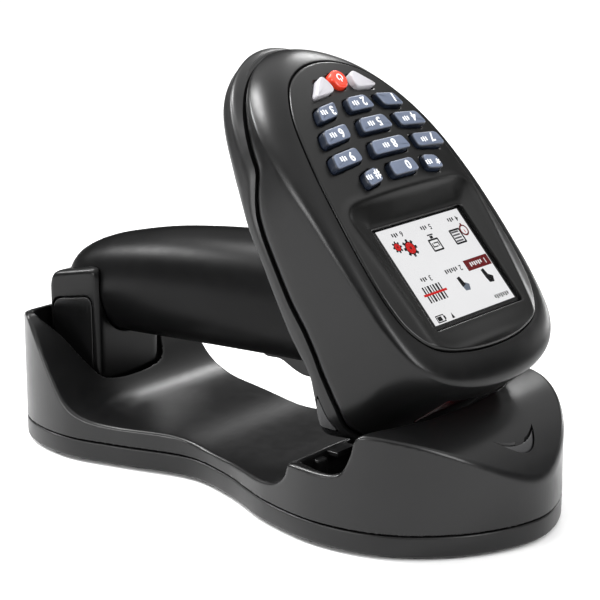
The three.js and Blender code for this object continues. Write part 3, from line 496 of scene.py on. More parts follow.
def lathe(name, profile, place, count=40):
    """Turned piece round the Z axis of place, from (radius, height) pairs, bottom to top."""
    a = full_turn(count)
    rings = [np.stack([r * np.cos(a), r * np.sin(a), np.full(count, h)], 1) for r, h in profile]
    return make(name, *net(rings), place)


def carve(obj, tool, operation="DIFFERENCE"):
    """obj after a Boolean with tool, which goes away."""
    modifier = obj.modifiers.new("carve", "BOOLEAN")
    modifier.operation = operation
    modifier.solver = "MANIFOLD"
    modifier.object = tool
    shaped = evaluated(obj)
    obj.modifiers.clear()
    obj.data = shaped
    bpy.data.objects.remove(tool)
    return obj


def brick(x0, x1, y0, y1, z0, z1, place=UPRIGHT):
    return prism(rectangle(x1 - x0, y1 - y0, (x0 + x1) / 2, (y0 + y1) / 2), z0, z1, place)


def drum(radius, x, y, z0, z1, place=UPRIGHT):
    return prism(circle(radius, x, y, 40), z0, z1, place)


# ---- materials

NOISE_SPAN = (0.3, 0.7)


def feed(tree, node, inputs):
    """Give inputs their values, or link them to the sockets that feed them."""
    for name, value in inputs.items():
        if isinstance(value, bpy.types.NodeSocket):
            tree.links.new(value, node.inputs[name])
        else:
            node.inputs[name].default_value = value


def add(tree, kind, inputs=None, **settings):
    node = tree.nodes.new(kind)
    for name, value in settings.items():
        setattr(node, name, value)
    feed(tree, node, inputs or {})
    return node


def nodes_of(name):
    material = bpy.data.materials.new(name)
    material.use_nodes = True
    tree = material.node_tree
    tree.nodes.clear()
    shader = add(tree, "ShaderNodeBsdfPrincipled")
    add(tree, "ShaderNodeOutputMaterial", {"Surface": shader.outputs["BSDF"]})
    return material, tree, shader, add(tree, "ShaderNodeTexCoord").outputs["Object"]


def found(tree, kind):
    return next(n for n in tree.nodes if n.type == kind)


def noise(tree, place, scale, detail):
    return add(tree, "ShaderNodeTexNoise", {"Vector": place, "Scale": scale, "Detail": detail}).outputs["Fac"]


def ramp(tree, value, low, high, span=NOISE_SPAN, interpolation="LINEAR"):
    """Colour between low and high, as value goes over the span."""
    node = add(tree, "ShaderNodeValToRGB", {"Fac": value})
    node.color_ramp.interpolation = interpolation
    for element, position, colour in zip(node.color_ramp.elements, span, (low, high)):
        element.position, element.color = position, (*colour, 1)
    return node.outputs["Color"]


def spread(tree, value, low, high, span=NOISE_SPAN):
    """Number between low and high, as value goes over the span."""
    limits = {"From Min": span[0], "From Max": span[1], "To Min": low, "To Max": high}
    return add(tree, "ShaderNodeMapRange", {"Value": value, **limits}).outputs["Result"]


def scaled(colour, factor):
    return tuple(min(1, c * factor) for c in colour)


def plastic(name, colour, rough, grain=0.0, grain_scale=2600, vary=0.12, coat=0.0, gloss=0.5):
    """Moulded plastic or rubber: slightly uneven colour and gloss, with a fine moulded grain."""
    material, tree, shader, place = nodes_of(name)
    patches, wear = noise(tree, place, 60, 3), noise(tree, place, 240, 4)
    feed(tree, shader, {
        "Base Color": ramp(tree, patches, scaled(colour, 1 - vary), scaled(colour, 1 + vary)),
        "Roughness": spread(tree, wear, rough * 0.92, min(1, rough * 1.08)),
        "Specular IOR Level": gloss,
        "Coat Weight": coat,
        "Coat Roughness": 0.12,
    })
    if grain:
        height = noise(tree, place, grain_scale, 1)
        bump = add(tree, "ShaderNodeBump", {"Strength": 1.0, "Distance": grain * MM, "Height": height})
        feed(tree, shader, {"Normal": bump.outputs["Normal"]})
    return material


def key_plastic_painted_shade(name, face, side, rough):
    """Keypad rubber: printed face colour on top, with painted shade making it much darker down its sides."""
    material = plastic(name, face, rough, 0.004, gloss=0.4)
    tree = material.node_tree
    shader, normal = found(tree, "BSDF_PRINCIPLED"), found(tree, "TEX_COORD").outputs["Normal"]
    # painted shade: the colour turns from the face colour to the dark side colour as a face turns away from
    # the key's top
    facing = add(tree, "ShaderNodeVectorMath", {0: normal, 1: (s48, 0, c48)}, operation="DOT_PRODUCT")
    mix = add(tree, "ShaderNodeMix", {
        "Factor": spread(tree, facing.outputs["Value"], 0, 1, (0.55, 0.9)),
        "A": (*side, 1),
        "B": shader.inputs["Base Color"].links[0].from_socket,
    }, data_type="RGBA")
    feed(tree, shader, {"Base Color": mix.outputs["Result"]})
    return material


def metal(name, colour, rough):
    material, tree, shader, place = nodes_of(name)
    fine = noise(tree, place, 900, 3)
    feed(tree, shader, {
        "Base Color": ramp(tree, fine, scaled(colour, 0.85), colour),
        "Roughness": spread(tree, fine, rough * 0.8, rough * 1.2),
        "Metallic": 1.0,
    })
    return material


def lit(name, colour, strength):
    """Part of the lit display."""
    material, tree, shader, place = nodes_of(name)
    even = noise(tree, place, 30, 1)
    feed(tree, shader, {
        "Base Color": ramp(tree, even, scaled(colour, 0.04), scaled(colour, 0.05)),
        "Emission Color": ramp(tree, even, scaled(colour, 0.985), colour),
        "Emission Strength": strength,
        "Roughness": 0.6,
        "Specular IOR Level": 0.1,
    })
    return material


def clear(name):
    """Thin clear window: lets light straight through, and reflects a little more at a low angle."""
    material, tree, shader, place = nodes_of(name)
    smear = noise(tree, place, 45, 3)
    feed(tree, shader, {
        "Base Color": ramp(tree, smear, (0.02, 0.02, 0.022), (0.03, 0.03, 0.032)),
        "Roughness": spread(tree, smear, 0.03, 0.07),
    })
    facing = add(tree, "ShaderNodeLayerWeight", {"Blend": 0.5}).outputs["Facing"]
    steep = add(tree, "ShaderNodeMath", {0: facing, 1: 4.0}, operation="POWER").outputs["Value"]
    share = add(tree, "ShaderNodeMath", {0: steep, 1: 0.5, 2: 0.02}, operation="MULTIPLY_ADD")
    mix = add(tree, "ShaderNodeMixShader", {
        "Fac": share.outputs["Value"],
        1: add(tree, "ShaderNodeBsdfTransparent").outputs["BSDF"],
        2: shader.outputs["BSDF"],
    })
    feed(tree, found(tree, "OUTPUT_MATERIAL"), {"Surface": mix.outputs["Shader"]})
    return material


FINISH = {
    "cradle_black": plastic("cradle_black", (0.004, 0.004, 0.0042), 0.36, 0.006, gloss=0.28),
    "cradle_grey": plastic("cradle_grey", (0.0055, 0.0055, 0.0057), 0.30, 0.004, gloss=0.30),
    "foot_rubber": plastic("foot_rubber", (0.035, 0.035, 0.036), 0.6, 0.02, 1500, gloss=0.3),
    "screw_steel": metal("screw_steel", (0.62, 0.63, 0.65), 0.28),
    "board_green": plastic("board_green", (0.015, 0.11, 0.045), 0.45, 0.0, vary=0.3),
    "contact_brass": metal("contact_brass", (0.86, 0.66, 0.32), 0.22),
    "status_lens": plastic("status_lens", (0.012, 0.012, 0.013), 0.16, vary=0.2, coat=0.5),
    "case_black": plastic("case_black", (0.003, 0.003, 0.0031), 0.31, 0.004, gloss=0.24),
    "skirt_grey": plastic("skirt_grey", (0.005, 0.005, 0.0052), 0.34, 0.004, gloss=0.30),
    "plate_black": plastic("plate_black", (0.004, 0.004, 0.0039), 0.30, 0.0015, gloss=0.30),
    "screen_glass": clear("screen_glass"),
    "lcd_white": lit("lcd_white", (0.97, 0.97, 0.98), 0.84),
    # key_grey: the second colour is painted shade for the key sides
    "key_grey": key_plastic_painted_shade("key_grey", (0.12, 0.145, 0.205), (0.008, 0.012, 0.022), 0.36),
    "key_white": plastic("key_white", (0.50, 0.49, 0.52), 0.38, 0.004, vary=0.05),
    "key_red": plastic("key_red", (0.80, 0.05, 0.02), 0.25, coat=0.3, vary=0.08),
    "scan_red": plastic("scan_red", (0.02, 0.001, 0.002), 0.25, vary=0.2, gloss=0.1),
    "cell_blue": plastic("cell_blue", (0.03, 0.09, 0.28), 0.4),
}
FOOT_BLACK = plastic("foot_black", (0.003, 0.003, 0.0031), 0.3, 0.004, gloss=0.14)
GRIP_BLACK = plastic("grip_black", (0.003, 0.003, 0.0031), 0.33, 0.004, gloss=0.07)
INK = plastic("legend_white", (0.90, 0.91, 0.93), 0.45, vary=0.03)
DISPLAY = {
    name: lit(f"display_{name}", colour, strength) for name, colour, strength in (
        ("black", (0.010, 0.010, 0.012), 0.2),
        ("grey", (0.13, 0.13, 0.14), 0.8),
        ("red", (0.80, 0.015, 0.012), 0.7),
        ("dark_red", (0.16, 0.008, 0.010), 0.8),
        ("pink", (0.8, 0.12, 0.14), 0.8),
        ("steel", (0.16, 0.19, 0.24), 0.8),
        ("white", (0.97, 0.97, 0.98), 0.84),
    )
}


def dress(obj, material, body, nodes=()):
    obj.data.materials.clear()
    obj.data.materials.append(material)
    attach(obj, body)
    if nodes:
        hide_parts(*nodes)
    return obj


def finish_as(obj, slot, body, *nodes):
    return dress(obj, FINISH[slot], body, nodes)


# ---- cradle

cradle_outline = mirrored(CRADLE_HALF_PLAN, 360)
top_line = spline(CRADLE_TOP, False, 420)
top_region = np.vstack([top_line, [(106.2, -12)], [(-106.2, -12)]])
socket_points = [*SOCKET_HALF_PLAN, *[(x, -y) for x, y in reversed(SOCKET_HALF_PLAN[:-1])]]

plan_field = Field(cradle_outline)
top_field = Field(top_region)
guard_field = Field(np.vstack([spline([(44, 21), *SOCKET_GUARD, (70, 37)], False, 80), [(70, 8)], [(44, 8)]]))
pocket_field = Field(mirrored(POCKET_HALF_PLAN, 160), 0.4)
socket_field = Field(rounded(socket_points, 1.6), 0.4)


def crescent(tip_x, half_span, outer_x, inner_x):
    t = np.linspace(0, 1, 40)[:-1, None]
    right, left = np.array([(tip_x, -half_span), (tip_x, half_span)])
    outer, inner = np.array([(outer_x, 0), (inner_x, 0)])
    return np.vstack([bow(right, outer, left, t), bow(left, inner, right, t)])


lens_field = Field(crescent(LENS_TIP_X, LENS_HALF, LENS_OUTER, LENS_INNER), 0.1, 2)


def shell_field(x, y, z):
    plan = plan_field(x, y)
    guard = np.maximum(guard_field(x, z), GUARD_INSIDE - y)
    body = both(plan, np.minimum(top_field(x, z), guard), CRADLE_EDGE)
    body = both(body, -both(pocket_field(x, y), POCKET_FLOOR - z, CRADLE_EDGE), POCKET_RIM)
    body = both(body, -both(socket_field(x, y), SOCKET_FLOOR - z, CRADLE_EDGE), SOCKET_RIM)
    for near in (-y, y):
        tab = block(x, near, z, *SOCKET_TAB)
        ledge = np.maximum(block(x, near, z, *SOCKET_LEDGE), plan + CRADLE_EDGE)
        rib = both(np.hypot(x - RIB_X, near - RIB_Y) - RIB_RADIUS, z - RIB_TOP, 0.5)
        rib = np.maximum(rib, SOCKET_LEDGE[0][2] - z)
        body = either(body, np.minimum(np.minimum(tab, rib), ledge), 0.25)
    pins = np.hypot(x - CHARGE_PIN[0], np.abs(y) - CHARGE_PIN[1])
    for radius, top in PIN_HOLE:
        body = np.maximum(body, -np.maximum(pins - radius, z - top))
    return both(body, SHELL_BOTTOM - z, 0.35)


def skinned(name, field, low, high, step, place=UPRIGHT):
    points, faces, normals = skin(field, low, high, step)
    return make(name, points, faces.tolist(), place, normals)


def shade_from(obj, field):
    """After a cut: normals of the field where a face lies on it, and the face's own elsewhere."""
    mesh = obj.data
    smooth_all(mesh)

    def read(items, what, width=1, kind=float):
        values = np.zeros(len(items) * width, kind)
        items.foreach_get(what, values)
        return values.reshape(-1, width) if width > 1 else values

    own = np.repeat(read(mesh.polygons, "normal", 3), read(mesh.polygons, "loop_total", kind=int), 0)
    at_vertex = slopes(field, read(mesh.vertices, "co", 3) / MM)
    smooth = at_vertex[read(mesh.loops, "vertex_index", kind=int)]
    agrees = np.sum(own * smooth, 1) > 0.6
    mesh.normals_split_custom_set(np.where(agrees[:, None], smooth, own).tolist())
    return obj


shell = skinned("cradle_top_shell_look", shell_field, (-105.2, -49, SHELL_BOTTOM), (105.2, 49, 48), 0.8)
lens_seat = crescent(LENS_TIP_X - 0.6, LENS_HALF + 0.8, LENS_OUTER + 1.1, LENS_INNER)
carve(shell, prism(lens_seat, 20, 60))
finish_as(shade_from(shell, shell_field), "cradle_grey", "cradle", "cradle_top_shell")

rim = pillow(cradle_outline, PAN_BOTTOM, PAN_TOP, CRADLE_EDGE, PAN_EDGE)
rim += [level(inward(cradle_outline, WALL), z) for z in (PAN_TOP, PAN_FLOOR)]
pan = make("cradle_base_pan_look", *net([level(inward(cradle_outline, 8), PAN_BOTTOM), *rim]))
for x, y in CASE_SCREW_PLACES:
    carve(pan, drum(BOSS_RADIUS, x, y, PAN_FLOOR - 0.5, PAN_TOP), "UNION")
    carve(pan, drum(SCREW_HOLE_RADIUS, x, y, 0, PAN_TOP + 1))
    carve(pan, drum(SCREW_SEAT, x, y, 0, SCREW_SEAT))
for x, y in FOOT_PLACES:
    carve(pan, drum(FOOT_SEAT_RADIUS, x, y, 0, PAN_BOTTOM + 0.8))
carve(pan, brick(*INLET_NOTCH))
finish_as(resharpen(pan), "cradle_black", "cradle", "cradle_base_pan")

FOOT_PROFILE = [(4.6, 0), (5.4, 0.05), (5.85, 0.3), (6, 0.7), (6, 1.5)]
for i, (x, y) in enumerate(FOOT_PLACES, 1):
    foot = lathe(f"cradle_foot_{i}_look", FOOT_PROFILE, Matrix.Translation((x, y, 0)))
    finish_as(foot, "foot_rubber", "cradle", f"cradle_foot_{i}")


def screw(node, body, head_radius, shank_radius, head, top, tip, place):
    """Pan-head screw standing point up, with a cross recess in its head."""
    edge = 0.3
    profile = [
        (head_radius * 0.6, head), (head_radius - edge, head + 0.06), (head_radius, head + edge),
        (head_radius, top), (shank_radius, top + 0.02), (shank_radius, tip - shank_radius), (0.15, tip),
    ]
    obj = lathe(f"{node}_look", profile, place, 32)
    arm = head_radius * 0.62
    for x, y in ((arm, 0.32), (0.32, arm)):
        carve(obj, brick(-x, x, -y, y, head - 1, head + 0.75, place))
    return finish_as(resharpen(obj), "screw_steel", body, node)


for i, (x, y) in enumerate(CASE_SCREW_PLACES, 1):
    place = Matrix.Translation((x, y, 0))
    screw(f"cradle_screw_{i}", "cradle", 2.8, 1.3, PAN_BOTTOM + 0.3, PAN_BOTTOM + 1.9, 12.4, place)

PIN_PROFILE = [
    (1.7, 7.6), (1.9, 7.8), (1.9, 8.6), (1.2, 8.62), (1.2, 11.7), (1.0, 12.2), (0.5, 12.46), (0.2, 12.5),
]
for side, word in WORDS:
    pin, place = f"charge_pin_{word}", Matrix.Translation((CHARGE_PIN[0], side * CHARGE_PIN[1], 0))
    finish_as(lathe(f"{pin}_look", PIN_PROFILE, place, 32), "contact_brass", pin, pin)


def lens_shape(x, y, z):
    return both(both(lens_field(x, y), top_field(x, z) + LENS_SUNK, 0.5), LENS_BOTTOM - z, 0.3)


lens = skinned("status_lens_look", lens_shape, (93, -10.6, 23.6), (100, 10.6, 36), 0.3)
finish_as(lens, "status_lens", "cradle", "status_lens")

# ---- head

AROUND = 256


def head_plan(half):
    points = mirrored(half, AROUND)
    middle = (half[0][0] + half[-1][0]) / 2
    return points, middle, half[-1][0] - middle, max(v for _, v in half)


OUTER, SKIRT, PLATE = (head_plan(h) for h in (HEAD_HALF_PLAN, SKIRT_HALF_PLAN, PLATE_HALF_PLAN))
shoulder, seam, corner, underside = (
    smooth_table(t, s) for t, s in (
        (HEAD_SHOULDER, 3), (HEAD_SEAM, 1.3), (SKIRT_CORNER, 1.0), (HEAD_UNDERSIDE, 1.0))
)


def ease(t):
    t = np.clip(t, 0, 1)
    return t * t * (3 - 2 * t)


def crown(u, v):
    return -np.where(u < 10, 0.0031, 0.0008) * (u - 10) ** 2 - 0.0026 * v**2


def lean(u, w):
    return u - NOSE_LEAN * np.maximum(0, -9 - w) * ease((u - 40) / 50)


def head_ring(plan, inset, height):
    points, middle, half_length, half_width = plan
    u = middle + (points[:, 0] - middle) * (1 - inset / half_length)
    v = points[:, 1] * (1 - inset / half_width)
    w = height(u, v)
    return np.stack([lean(u, w), v, w], 1)


def above_crown(rise):
    return lambda u, v: crown(u, v) + rise


def above(line, rise):
    return lambda u, v: line(u) + rise


def above_seam(rise):
    """Height above the seam, less where the side is low."""
    full = HOUSING_CURL[-1][1]
    return lambda u, v: seam(u) + 0.12 + rise * np.minimum(1, 0.7 * (shoulder(u) - seam(u)) / full)


def upper_rings():
    """Outside of the housing, from its seam up to the edge of the face plate."""
    low = head_ring(OUTER, 0, above_seam(HOUSING_CURL[-1][1]))
    high = head_ring(OUTER, 0, above(shoulder, 0))
    edge = head_ring(PLATE, -0.6, above_crown(-0.4))
    rings = [head_ring(OUTER, inset, above_seam(rise)) for inset, rise in HOUSING_CURL[:-1]]
    rings += [low + (high - low) * t for t in np.linspace(0, 1, 7)[:-1]]
    # the shoulder is rounder towards the nose
    roundness = (0.45 + 0.55 * ease((high[:, 0] + 30) / 60))[:, None]
    for a in np.linspace(0, math.pi / 2, 19):
        share = 2 * a / math.pi
        across = share + (1 - math.cos(a) - share) * roundness
        rise = share + (math.sin(a) - share) * roundness
        factor = np.hstack([across, across, rise])
        rings.append(high + (edge - high) * factor)
    return rings


def nose_block(grow, u0, u1, name="tool"):
    """Block from u0 to u1, square to the nose, as large as the scan window and a rim round it."""
    turn = Matrix.Translation((WINDOW_U, 0, WINDOW_W)) @ Matrix.Rotation(math.atan(NOSE_LEAN), 4, "Y")
    outline = rounded(rectangle(WINDOW_HEIGHT + grow, WINDOW_WIDTH + grow), 1.2)
    rings = [level(outline, u - WINDOW_U)[:, [2, 1, 0]] for u in (u0, u1)]
    return make(name, *net(rings), HEAD @ turn)


rings = upper_rings()
rings += [head_ring(PLATE, d, above_crown(w)) for d, w in (
    (-0.45, -0.4), (-0.2, -0.5), (0, -0.75), (0, -2.5), (3.4, -2.5), (3.4, -5.6))]
rings += [head_ring(OUTER, WALL, above(*a)) for a in ((shoulder, -1.5), (seam, 2.5), (seam, 0.15))]
housing = make("head_housing_look", *net(rings, looped=True), HEAD)
carve(housing, nose_block(2 * RIM_WIDTH, *RIM_SPAN), "UNION")
carve(housing, nose_block(0, 76, 120))
finish_as(resharpen(housing, 50), "case_black", "scanner", "head_housing")
window = nose_block(-2 * GAP, *WINDOW_SPAN, "scan_window_look")
finish_as(window, "scan_red", "scanner", "scan_window")


def lower_rings(inset, rise, top):
    """Outside of the skirt, from its upper edge down and in to the middle of the underside."""
    def between(upper, lower, share):
        return lambda u, v: np.minimum(upper(u) + share * (lower(u) - upper(u)) + rise, seam(u) + top - 0.2)

    side = [head_ring(OUTER, inset, above(seam, top))]
    for draw, share in ((0, 0.3), (0.1, 0.55), (0.4, 0.8), (1.0, 0.93), (1.8, 1)):
        side.append(head_ring(SKIRT, inset + draw, between(seam, corner, share)))
    under = [side[-1]]
    for draw, share in ((7, 0.5), (14, 0.85), (28, 1)):
        under.append(head_ring(SKIRT, inset + draw, between(corner, underside, share)))
    return [*through(side, 4), *through(under, 4)[1:]]


def lower_solid(inset, rise, top):
    return make("tool", *net(lower_rings(inset, rise, top)), HEAD)


def pad_wedge(grow, side, radius):
    return side_prism(rounded(grown(NOSE_PAD, grow), radius), *sorted((side * 20, side * 60)))


def grip_rings(inset, first=GRIP_STATIONS[0][0]):
    """Round sections along the grip from its smooth table of stations."""
    stations = spline([s for s in GRIP_STATIONS if s[0] >= first], False, 90)
    a = full_turn(96)
    return [
        np.stack([np.full(len(a), x), (b - inset) * np.cos(a), z + (h - inset) * np.sin(a)], 1)
        for x, z, b, h in stations
    ]


outer = lower_rings(0, 0, -0.15)
lip = [head_ring(OUTER, d, above(seam, w)) for d, w in ((WALL, -0.3), (0.9, -0.16), (0.3, -0.2))]
inner = lower_rings(WALL, WALL, -0.6)
skirt = make("rear_shell_look", *net([*reversed(outer), *reversed(lip), *inner]), HEAD)
carve(skirt, make("tool", *net(grip_rings(-GAP, -40))))
for side, word in WORDS:
    seat = carve(pad_wedge(0.4, side, 1.5), lower_solid(1.7, 1.7, 5))
    carve(skirt, seat)
    pad = carve(pad_wedge(0, side, 1.2), lower_solid(0, 0, -0.15), "INTERSECT")
    carve(pad, lower_solid(1.4, 1.4, 5))
    pad.name = f"nose_pad_{word}_look"
    finish_as(resharpen(pad), "foot_rubber", "scanner", f"nose_pad_{word}")
screw_places = [(u, side * v, depth) for u, v, depth in HOUSING_SCREWS for side in SIDES]
for u, v, depth in screw_places:
    carve(skirt, drum(SCREW_WELL_RADIUS, u, v, -70, depth, HEAD))
finish_as(resharpen(skirt, 50), "skirt_grey", "scanner", "rear_shell")
for i, (u, v, depth) in enumerate(screw_places, 1):
    place = HEAD @ Matrix.Translation((u, v, 0))
    screw(f"shell_screw_{i}", "scanner", 2.4, 1.0, depth - 1.8, depth - GAP, -12.6, place)

# ---- face plate and screen


def screen_rectangle(longer, wider=None):
    """The screen's own rectangle, made larger all round."""
    return rectangle(SCREEN_LENGTH + longer, SCREEN_WIDTH + (longer if wider is None else wider), SCREEN_U)


dish_foot = Field(rounded(screen_rectangle(4, 1.2), DISH_FOOT_CORNER), 0.4, 16)
(rear_u, rear_v), (front_u, front_v) = DISH_REAR, DISH_FRONT
brim_corners = [(rear_u, -rear_v), (front_u, -front_v), (front_u, front_v), (rear_u, rear_v)]
dish_brim = Field(rounded(brim_corners, DISH_BRIM_CORNER), 0.4, 16)
screen_hole = Field(rounded(screen_rectangle(2 * GAP), 1.2), 0.4, 4)
plate_plan = Field(PLATE[0], 0.4, 4)


def row_keys():
    """Name and corners of the keys in the four rows."""
    for names, (u0, u1), middle, inner, outer in KEY_ROWS:
        yield names[1], [(u0, -middle[0]), (u1, -middle[1]), (u1, middle[1]), (u0, middle[0])]
        for side in SIDES:
            yield names[side + 1], [
                (u0, side * inner[0]), (u1, side * inner[1]),
                (u1 + KEY_SWEEP, side * outer[1]), (u0 + KEY_SWEEP, side * outer[0]),
            ]


def key_shape(corners, radius):
    """Middle of a key, and its outline as a function of how far it grows."""
    return *np.mean(corners, 0), lambda grow: rounded(grown(corners, grow), radius + grow, 6)


KEYS = [(name, "key_grey", *key_shape(corners, KEY_CORNER)) for name, corners in row_keys()]
for side, word in WORDS:
    mirrored_corners = [(u, side * v) for u, v in SIDE_KEY_CORNERS]
    KEYS.append((word, "key_white", *key_shape(mirrored_corners, SIDE_KEY_CORNER)))
KEYS.append(("power", "key_red", POWER_U, 0.0, lambda grow: circle(POWER_RADIUS + grow, POWER_U, 0)))
key_holes = [Field(outline(KEY_CLEARANCE), 0.25, 2) for *_, outline in KEYS]


def above_zero(value, ease_over):
    """Positive part of a value, with its corner at zero eased."""
    return 0.5 * (value + np.sqrt(value**2 + ease_over**2))


def plate_height(u, v):
    """Top of the face plate: a crown, with the dish sunk into it and a bead round the brim."""
    top = crown(u, v)
    inside, outside = above_zero(dish_foot(u, v), 0.9), -dish_brim(u, v)
    sunk = above_zero(outside / np.maximum(inside + outside, 0.5), 0.08)
    bead = BRIM_BEAD * np.exp(-(outside / BRIM_WIDTH) ** 2)
    return top + bead - (top - SCREEN_DEPTH) * np.minimum(sunk, 1)


def plate_field(u, v, w):
    top = w - plate_height(u, v)
    body = both(plate_plan(u, v) + GAP, top * 0.85, PLATE_EDGE)
    slab = crown(u, v) - PLATE_THICK - w
    ends = np.maximum(BEZEL_ENDS[0] - u, u - BEZEL_ENDS[1])
    bezel = np.maximum(ends, np.maximum(plate_plan(u, v) + BEZEL_INSET, BEZEL_BOTTOM - w))
    body = np.maximum(body, np.minimum(slab, bezel))
    body = both(body, -screen_hole(u, v), WINDOW_HOLE_EDGE)
    for hole in key_holes:
        body = both(body, -hole(u, v), KEY_HOLE_EDGE)
    return body


plate = skinned("face_plate_look", plate_field, (-28.2, -37.6, -8.5), (82, 37.6, 0.3), 0.5, HEAD)
finish_as(plate, "plate_black", "scanner", "face_plate")


def raised(name, outline, w0, w1, material, body="scanner"):
    return dress(prism(outline, w0, w1, HEAD, name), material, body)


def glyph(name, text, size, place, material, body, bold, depth=0.04):
    """Raised numeral or sign, laid on the XY plane of place."""
    curve = bpy.data.curves.new(name, "FONT")
    curve.body, curve.size, curve.extrude, curve.offset = text, size, depth, bold
    curve.align_x = curve.align_y = "CENTER"
    curve.resolution_u = 6
    source = linked(name, curve)
    mesh = evaluated(source)
    bpy.data.objects.remove(source)
    mesh.transform(Matrix.Scale(MM, 4) @ place)
    return dress(linked(name, mesh), material, body)


def legend_place(u, v, w):
    """Frame for marks that are read with the nose pointing up."""
    turn = Matrix(((0, 1, 0, u), (-1, 0, 0, v), (0, 0, 1, w), (0, 0, 0, 1)))
    return HEAD @ turn


panel = prism(rounded(screen_rectangle(-2 * GAP), 1), LCD_BOTTOM, LCD_TOP, HEAD, "lcd_module_look")
panel_body = pillow(rounded(screen_rectangle(2), 1), *LCD_BODY, 0.2, 0.2)
carve(panel, make("tool", *net(panel_body), HEAD), "UNION")
finish_as(resharpen(panel), "plate_black", "scanner", "lcd_module")
glass = pillow(rounded(screen_rectangle(0), 1), *GLASS_SPAN, 0.12, 0.2)
finish_as(make("screen_window_look", *net(glass), HEAD), "screen_glass", "scanner", "screen_window")

# lit area, off centre: a dark margin stays along its left side
DRAWN = LCD_TOP + LIT_THICK
finish_as(prism(rectangle(*LIT_AREA), LCD_TOP, DRAWN, HEAD, "lcd_lit_area"), "lcd_white", "scanner")


def drawn(name, outline, colour="black", layer=1):
    """Flat mark on the display."""
    low = DRAWN + LAYER * (layer - 1)
    return raised(f"lcd_{name}", outline, low, low + LAYER, DISPLAY[colour])


def drawn_ring(name, outside, inside, colour="black", layer=1):
    """Flat ring on the display, between two outlines with equal counts."""
    low = DRAWN + LAYER * (layer - 1)
    high = low + LAYER
    rings = [level(o, w) for o, w in ((outside, low), (outside, high), (inside, high), (inside, low))]
    return dress(make(f"lcd_{name}", *net(rings, looped=True), HEAD), DISPLAY[colour], "scanner")


def drawn_frame(name, u, v, length, width, line, radius=0.5):
    outlines = [
        rounded(rectangle(length - 2 * inset, width - 2 * inset, u, v), r)
        for inset, r in ((0, radius), (line, radius * 0.6))
    ]
    return drawn_ring(name, *outlines)


def gear(name, u, v, radius, teeth=8):
    points = []
    for i in range(teeth):
        for share, r in ((-0.28, 0.74), (-0.2, 1.0), (0.2, 1.0), (0.28, 0.74)):
            angle = (i + share) * 2 * math.pi / teeth
            points.append((u + r * radius * math.cos(angle), v + r * radius * math.sin(angle)))
    drawn(f"{name}_teeth", points)
    drawn(f"{name}_disc", circle(radius * 0.62, u, v, 24), "red", 2)
    drawn(f"{name}_hub", circle(radius * 0.16, u, v, 12), "dark_red", 3)


gear("gear_small", 40.9, -16.0, 2.2)
gear("gear_large", 42.4, -10.4, 3.3)
drawn_frame("box", 43.9, 2.1, 4.6, 5.4, 0.6)
drawn("box_knob", rounded(rectangle(1.0, 1.6, 41.0, 2.1), 0.3))
drawn("box_cap", rounded(rectangle(0.45, 3.0, 40.1, 2.1), 0.15))
for i, mark in enumerate((
    (0.4, 2.6, 43.2, 2.6), (0.4, 2.6, 44.5, 1.6), (1.5, 0.4, 43.8, 0.6), (1.5, 0.4, 43.9, 3.6),
)):
    drawn(f"box_mark_{i}", rectangle(*mark))
drawn_frame("list", 43.4, 14.8, 5.6, 5.8, 0.65)
for i in range(4):
    drawn(f"list_row_{i}", rectangle(0.6, 3.8, 41.7 + 1.1 * i, 14.6), "grey")
drawn_ring("watch", *(circle(r, 42.0, 19.6, 32) for r in (2.1, 1.45)), "dark_red", 2)
drawn("watch_face", circle(1.5, 42.0, 19.6, 24), "white", 3)
drawn("watch_hand", rectangle(1.2, 0.3, 42.4, 19.6), "pink", 4)
drawn("watch_crown", rectangle(0.7, 0.8, 39.7, 19.6), "dark_red", 2)
drawn("label_chosen", rectangle(3.9, 13.2, 53.9, 15.9), "dark_red")
for i, (u, v, letters, digit, colour, layer) in enumerate((
    (36.9, -13.1, 3, "6", "black", 1), (37.3, 2.1, 3, "5", "black", 1), (37.3, 17.1, 3, "4", "black", 1),
    (53.7, 2.1, 6, "2", "black", 1), (53.7, -12.9, 3, "3", "black", 1), (66.9, 18.2, 7, "", "black", 1),
    (53.9, 15.8, 6, "1", "white", 2),
)):
    start = v + (letters + 1.6) * LETTER_STEP / 2
    if digit:
        place = legend_place(u, start, DRAWN + LAYER * (layer - 1) + 0.02)
        glyph(f"lcd_label_{i}_digit", digit, 2.7, place, DISPLAY[colour], "scanner", 0.04, 0.01)
    for k in range(letters):
        tall = LETTER_TALL if k % 2 else LETTER_LOW
        middle = u - (LETTER_TALL - tall) / 2, start - 2.3 - k * LETTER_STEP
        drawn(f"label_{i}_{k}", rectangle(tall, LETTER_WIDTH, *middle), colour, layer)
GUN_BODY = [(61.6, -1.2), (61.8, 1.2), (59.8, 2.2), (58.8, 0.4), (59.8, -1.6)]
GUN_GRIP = [(60.2, -1.7), (59.6, 0.4), (56.4, -0.4), (56.7, -2.0)]
for k, (v, colour) in enumerate(((17.0, "black"), (3.4, "steel"))):
    drawn(f"gun_{k}_body", np.array(GUN_BODY) + (0, v), colour)
    drawn(f"gun_{k}_grip", np.array(GUN_GRIP) + (0, v), "black", 2)
bar_v = -17.1
for k, width in enumerate((0.7, 0.5, 0.95, 0.5, 0.75, 0.95, 0.6)):
    drawn(f"bar_{k}", rectangle(5.8, width, 58.9, bar_v + width / 2))
    bar_v += width + 0.72
drawn("scan_line", rectangle(0.8, 12.2, 58.9, -12.2), "red", 2)
drawn_frame("battery", 67.4, -17.3, 2.6, 4.2, 0.35, 0.3)
drawn("battery_level", rectangle(1.5, 2.2, 67.4, -17.7))
drawn("battery_tip", rectangle(1.2, 0.5, 67.4, -14.95))
drawn("mast", [(66.6, -11.2), (68.6, -11.9), (68.6, -10.5)])

# ---- keys


